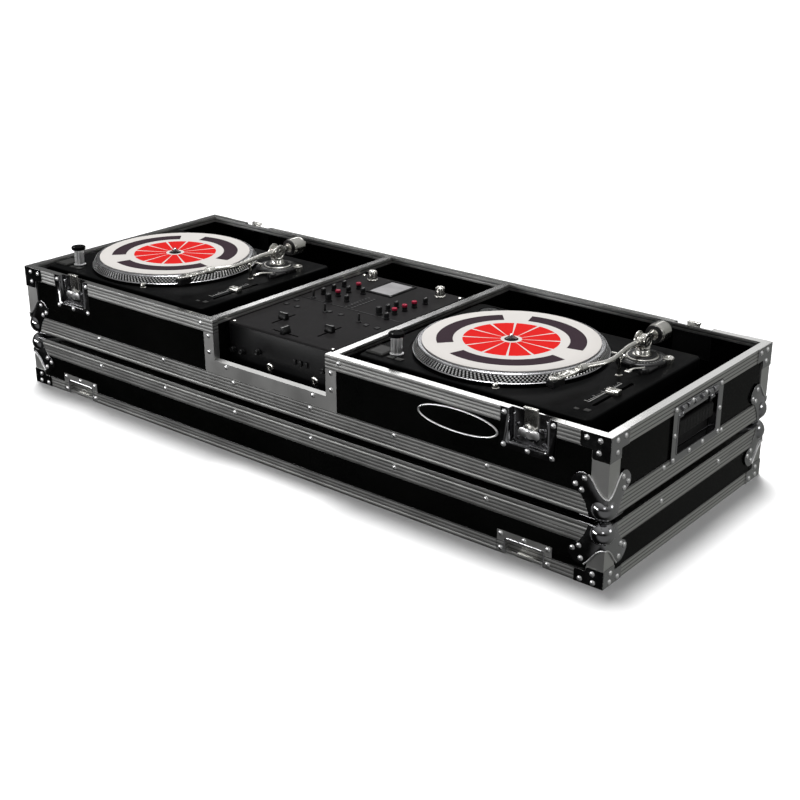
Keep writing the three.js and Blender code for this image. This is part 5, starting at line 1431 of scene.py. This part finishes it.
def makeMixerKnobs():
    small = spunKnob(5.6, 12, 14)
    blacks, reds, marks = [], [], []
    for x, y, lit in desk["knobs"]:
        blacks.append(twin(small, "smallKnob", shift(x, y, 0)))
        if lit:
            collar = startTurned("litCollar", ((4.5, 8.2), (5, 8.2), (5.2, 8.8), (5.2, 11.2), (4.4, 12.4), (1, 12.5), (1, 11), (4.5, 11),
                                               (4.5, 8.2)), (x, y, 0), 24)
            reds.append(collar)
        marks.append(startBox("knobMark", (x - 0.45, y + 1.4, 11.4), (x + 0.45, y + 4, 12.3)))
    drop(small)
    hy = desk["halfY"]
    turnFront = Matrix.Rotation(math.radians(90), 4, "X")
    for x, z in desk["frontKnobs"]:
        knob = spunKnob(6, 9, 12)
        knob.data.transform(shift(x, -hy - 0.6, z) @ turnFront)
        blacks.append(knob)
    for x, z in desk["switches"]:
        knob = roundEdges(startBox("switch", (x - 3, -hy - 4, z - 5), (x + 3, -hy, z + 5)), 0.8, 2)
        blacks.append(knob)
    rings = []
    for x, z in desk["jacks"]:
        ring = startTurned("jack", ((3.4, -3), (3.4, 0.8), (4.4, 2.4), (8, 2.4), (9, 1.6), (9, 0), (9, -1), (3.4, -3)), steps=32)
        ring.data.transform(shift(x, -hy - 0.6, z) @ turnFront)
        rings.append(ring)
    for sx in (-1, 1):
        for sy in (-1, 1):
            screw = startTurned("screw", ((0, -0.4), (3.4, -0.4), (3.4, 0.4), (2.4, 1.2), (1.2, 1.3), (1, 0.7), (0, 0.7)),
                                (sx * 119, sy * 180, 0), 16)
            rings.append(screw)
    black = joined("mixer_knobs", blacks)
    smooth(black, 40)
    onMixer(black, "mixer_knobs", "mixer", plastic, "black_plastic")
    onMixer(smooth(joined("lit", reds), 40), "mixer_lit_collars", "mixer", litRed, "satin_metal")
    onMixer(joined("marks", marks), "mixer_knob_marks", "mixer", markInk, "satin_metal")
    onMixer(smooth(joined("jacks", rings), 40), "mixer_jacks_and_screws", "mixer", satinMetal, "satin_metal")


def makeFader(name, x, y, turn):
    outline = [(-5.5, 0.3), (5.5, 0.3), (5.5, 4.6), (4.6, 6.4), (3.5, 12.4), (2.8, 13), (1.4, 12.2), (0, 11.8), (-1.4, 12.2),
               (-2.8, 13), (-3.5, 12.4), (-4.6, 6.4), (-5.5, 4.6)]
    cap = startOutline("faderCap", outline, 18, Vector((0, 1, 0)), Vector((0, 0, 1)), Vector((1, 0, 0)), (-9, 0, 0))
    roundEdges(cap, 0.7, 2, 50)
    stem = startBox("faderStem", (-1.9, -4, -7.4), (1.9, 4, 5))
    line = startBox("faderLine", (-8.2, -0.5, 11.5), (8.2, 0.5, 12.1))
    for piece in (cap, stem, line):
        piece.data.transform(shift(x, y, 0) @ Matrix.Rotation(turn, 4, "Z"))
    whole = joined("fader", [cap, stem])
    smooth(whole, 40)
    onMixer(whole, f"{name}_cap", name, plastic, "black_plastic", name)
    onMixer(line, f"{name}_line", name, markInk, "satin_metal")


def makeMixerControls():
    lineX, lineY = desk["line"]
    makeFader("crossfader", 0, desk["cross"], math.pi / 2)
    for side, sx in (("left", -1), ("right", 1)):
        makeFader(f"line_fader_{side}", sx * lineX, lineY, 0)
        for kind, radius, height, flutes, material, slot in (
                ("level", 11, 19, 24, satinMetal, "satin_metal"), ("eq", 7, 15, 18, plastic, "black_plastic")):
            x, y = desk[kind]
            knob = spunKnob(radius, height, flutes)
            pointer = startBox("pointer", (-0.09 * radius, 0.5 * radius, 1.6), (0.09 * radius, 0.95 * radius, height * 0.8))
            smooth(knob, 40)
            knob.data.transform(shift(sx * x, y, 0))
            pointer.data.transform(shift(sx * x, y, 0))
            onMixer(knob, f"{kind}_knob_{side}_cap", f"{kind}_knob_{side}", material, slot, f"{kind}_knob_{side}")
            onMixer(pointer, f"{kind}_knob_{side}_pointer", f"{kind}_knob_{side}", markInk, "satin_metal")


makeMixerBody()
makeMixerKnobs()
makeMixerControls()
print("dj case: mixer made")


# Blank oval badge on the front panel

badge = {"middle": (404.5, 200.5), "size": (79, 21), "face": -258.8, "rim": 1.9}


def ovalPoints(width, height, count=56):
    return [(width * math.cos(2 * math.pi * i / count), height * math.sin(2 * math.pi * i / count)) for i in range(count)]


def makeBadge():
    x, z = badge["middle"]
    width, height = badge["size"]
    across, up, out = Vector((1, 0, 0)), Vector((0, 0, 1)), Vector((0, -1, 0))
    path = [(x + u, badge["face"] - 0.4, z + v) for u, v in ovalPoints(width - badge["rim"], height - badge["rim"])]
    rim = startTube("rim", path, badge["rim"], closed=True, sides=12)
    finished(smooth(rim, 60), "tray", rivetSteel, "satin_metal").name = "badge_rim"
    field = startOutline("field", ovalPoints(width - 2, height - 2), 0.8, across, up, out, (x, badge["face"] + 0.2, z))
    roundEdges(field, 0.2, 1, 50)
    finished(smooth(field, 40), "tray", laminate, "black_plastic").name = "badge_field"


makeBadge()


# Foam sheet under the gear, with softened edges

def makeFoamSheet():
    sheet = copyOfNode("tray_foam", "tray_foam_sheet")
    roundEdges(sheet, 1.5, 3, 50)
    finished(smooth(sheet, 40), "tray", foam, "foam_liner", "tray_foam")


makeFoamSheet()
print("dj case: badge and foam made")
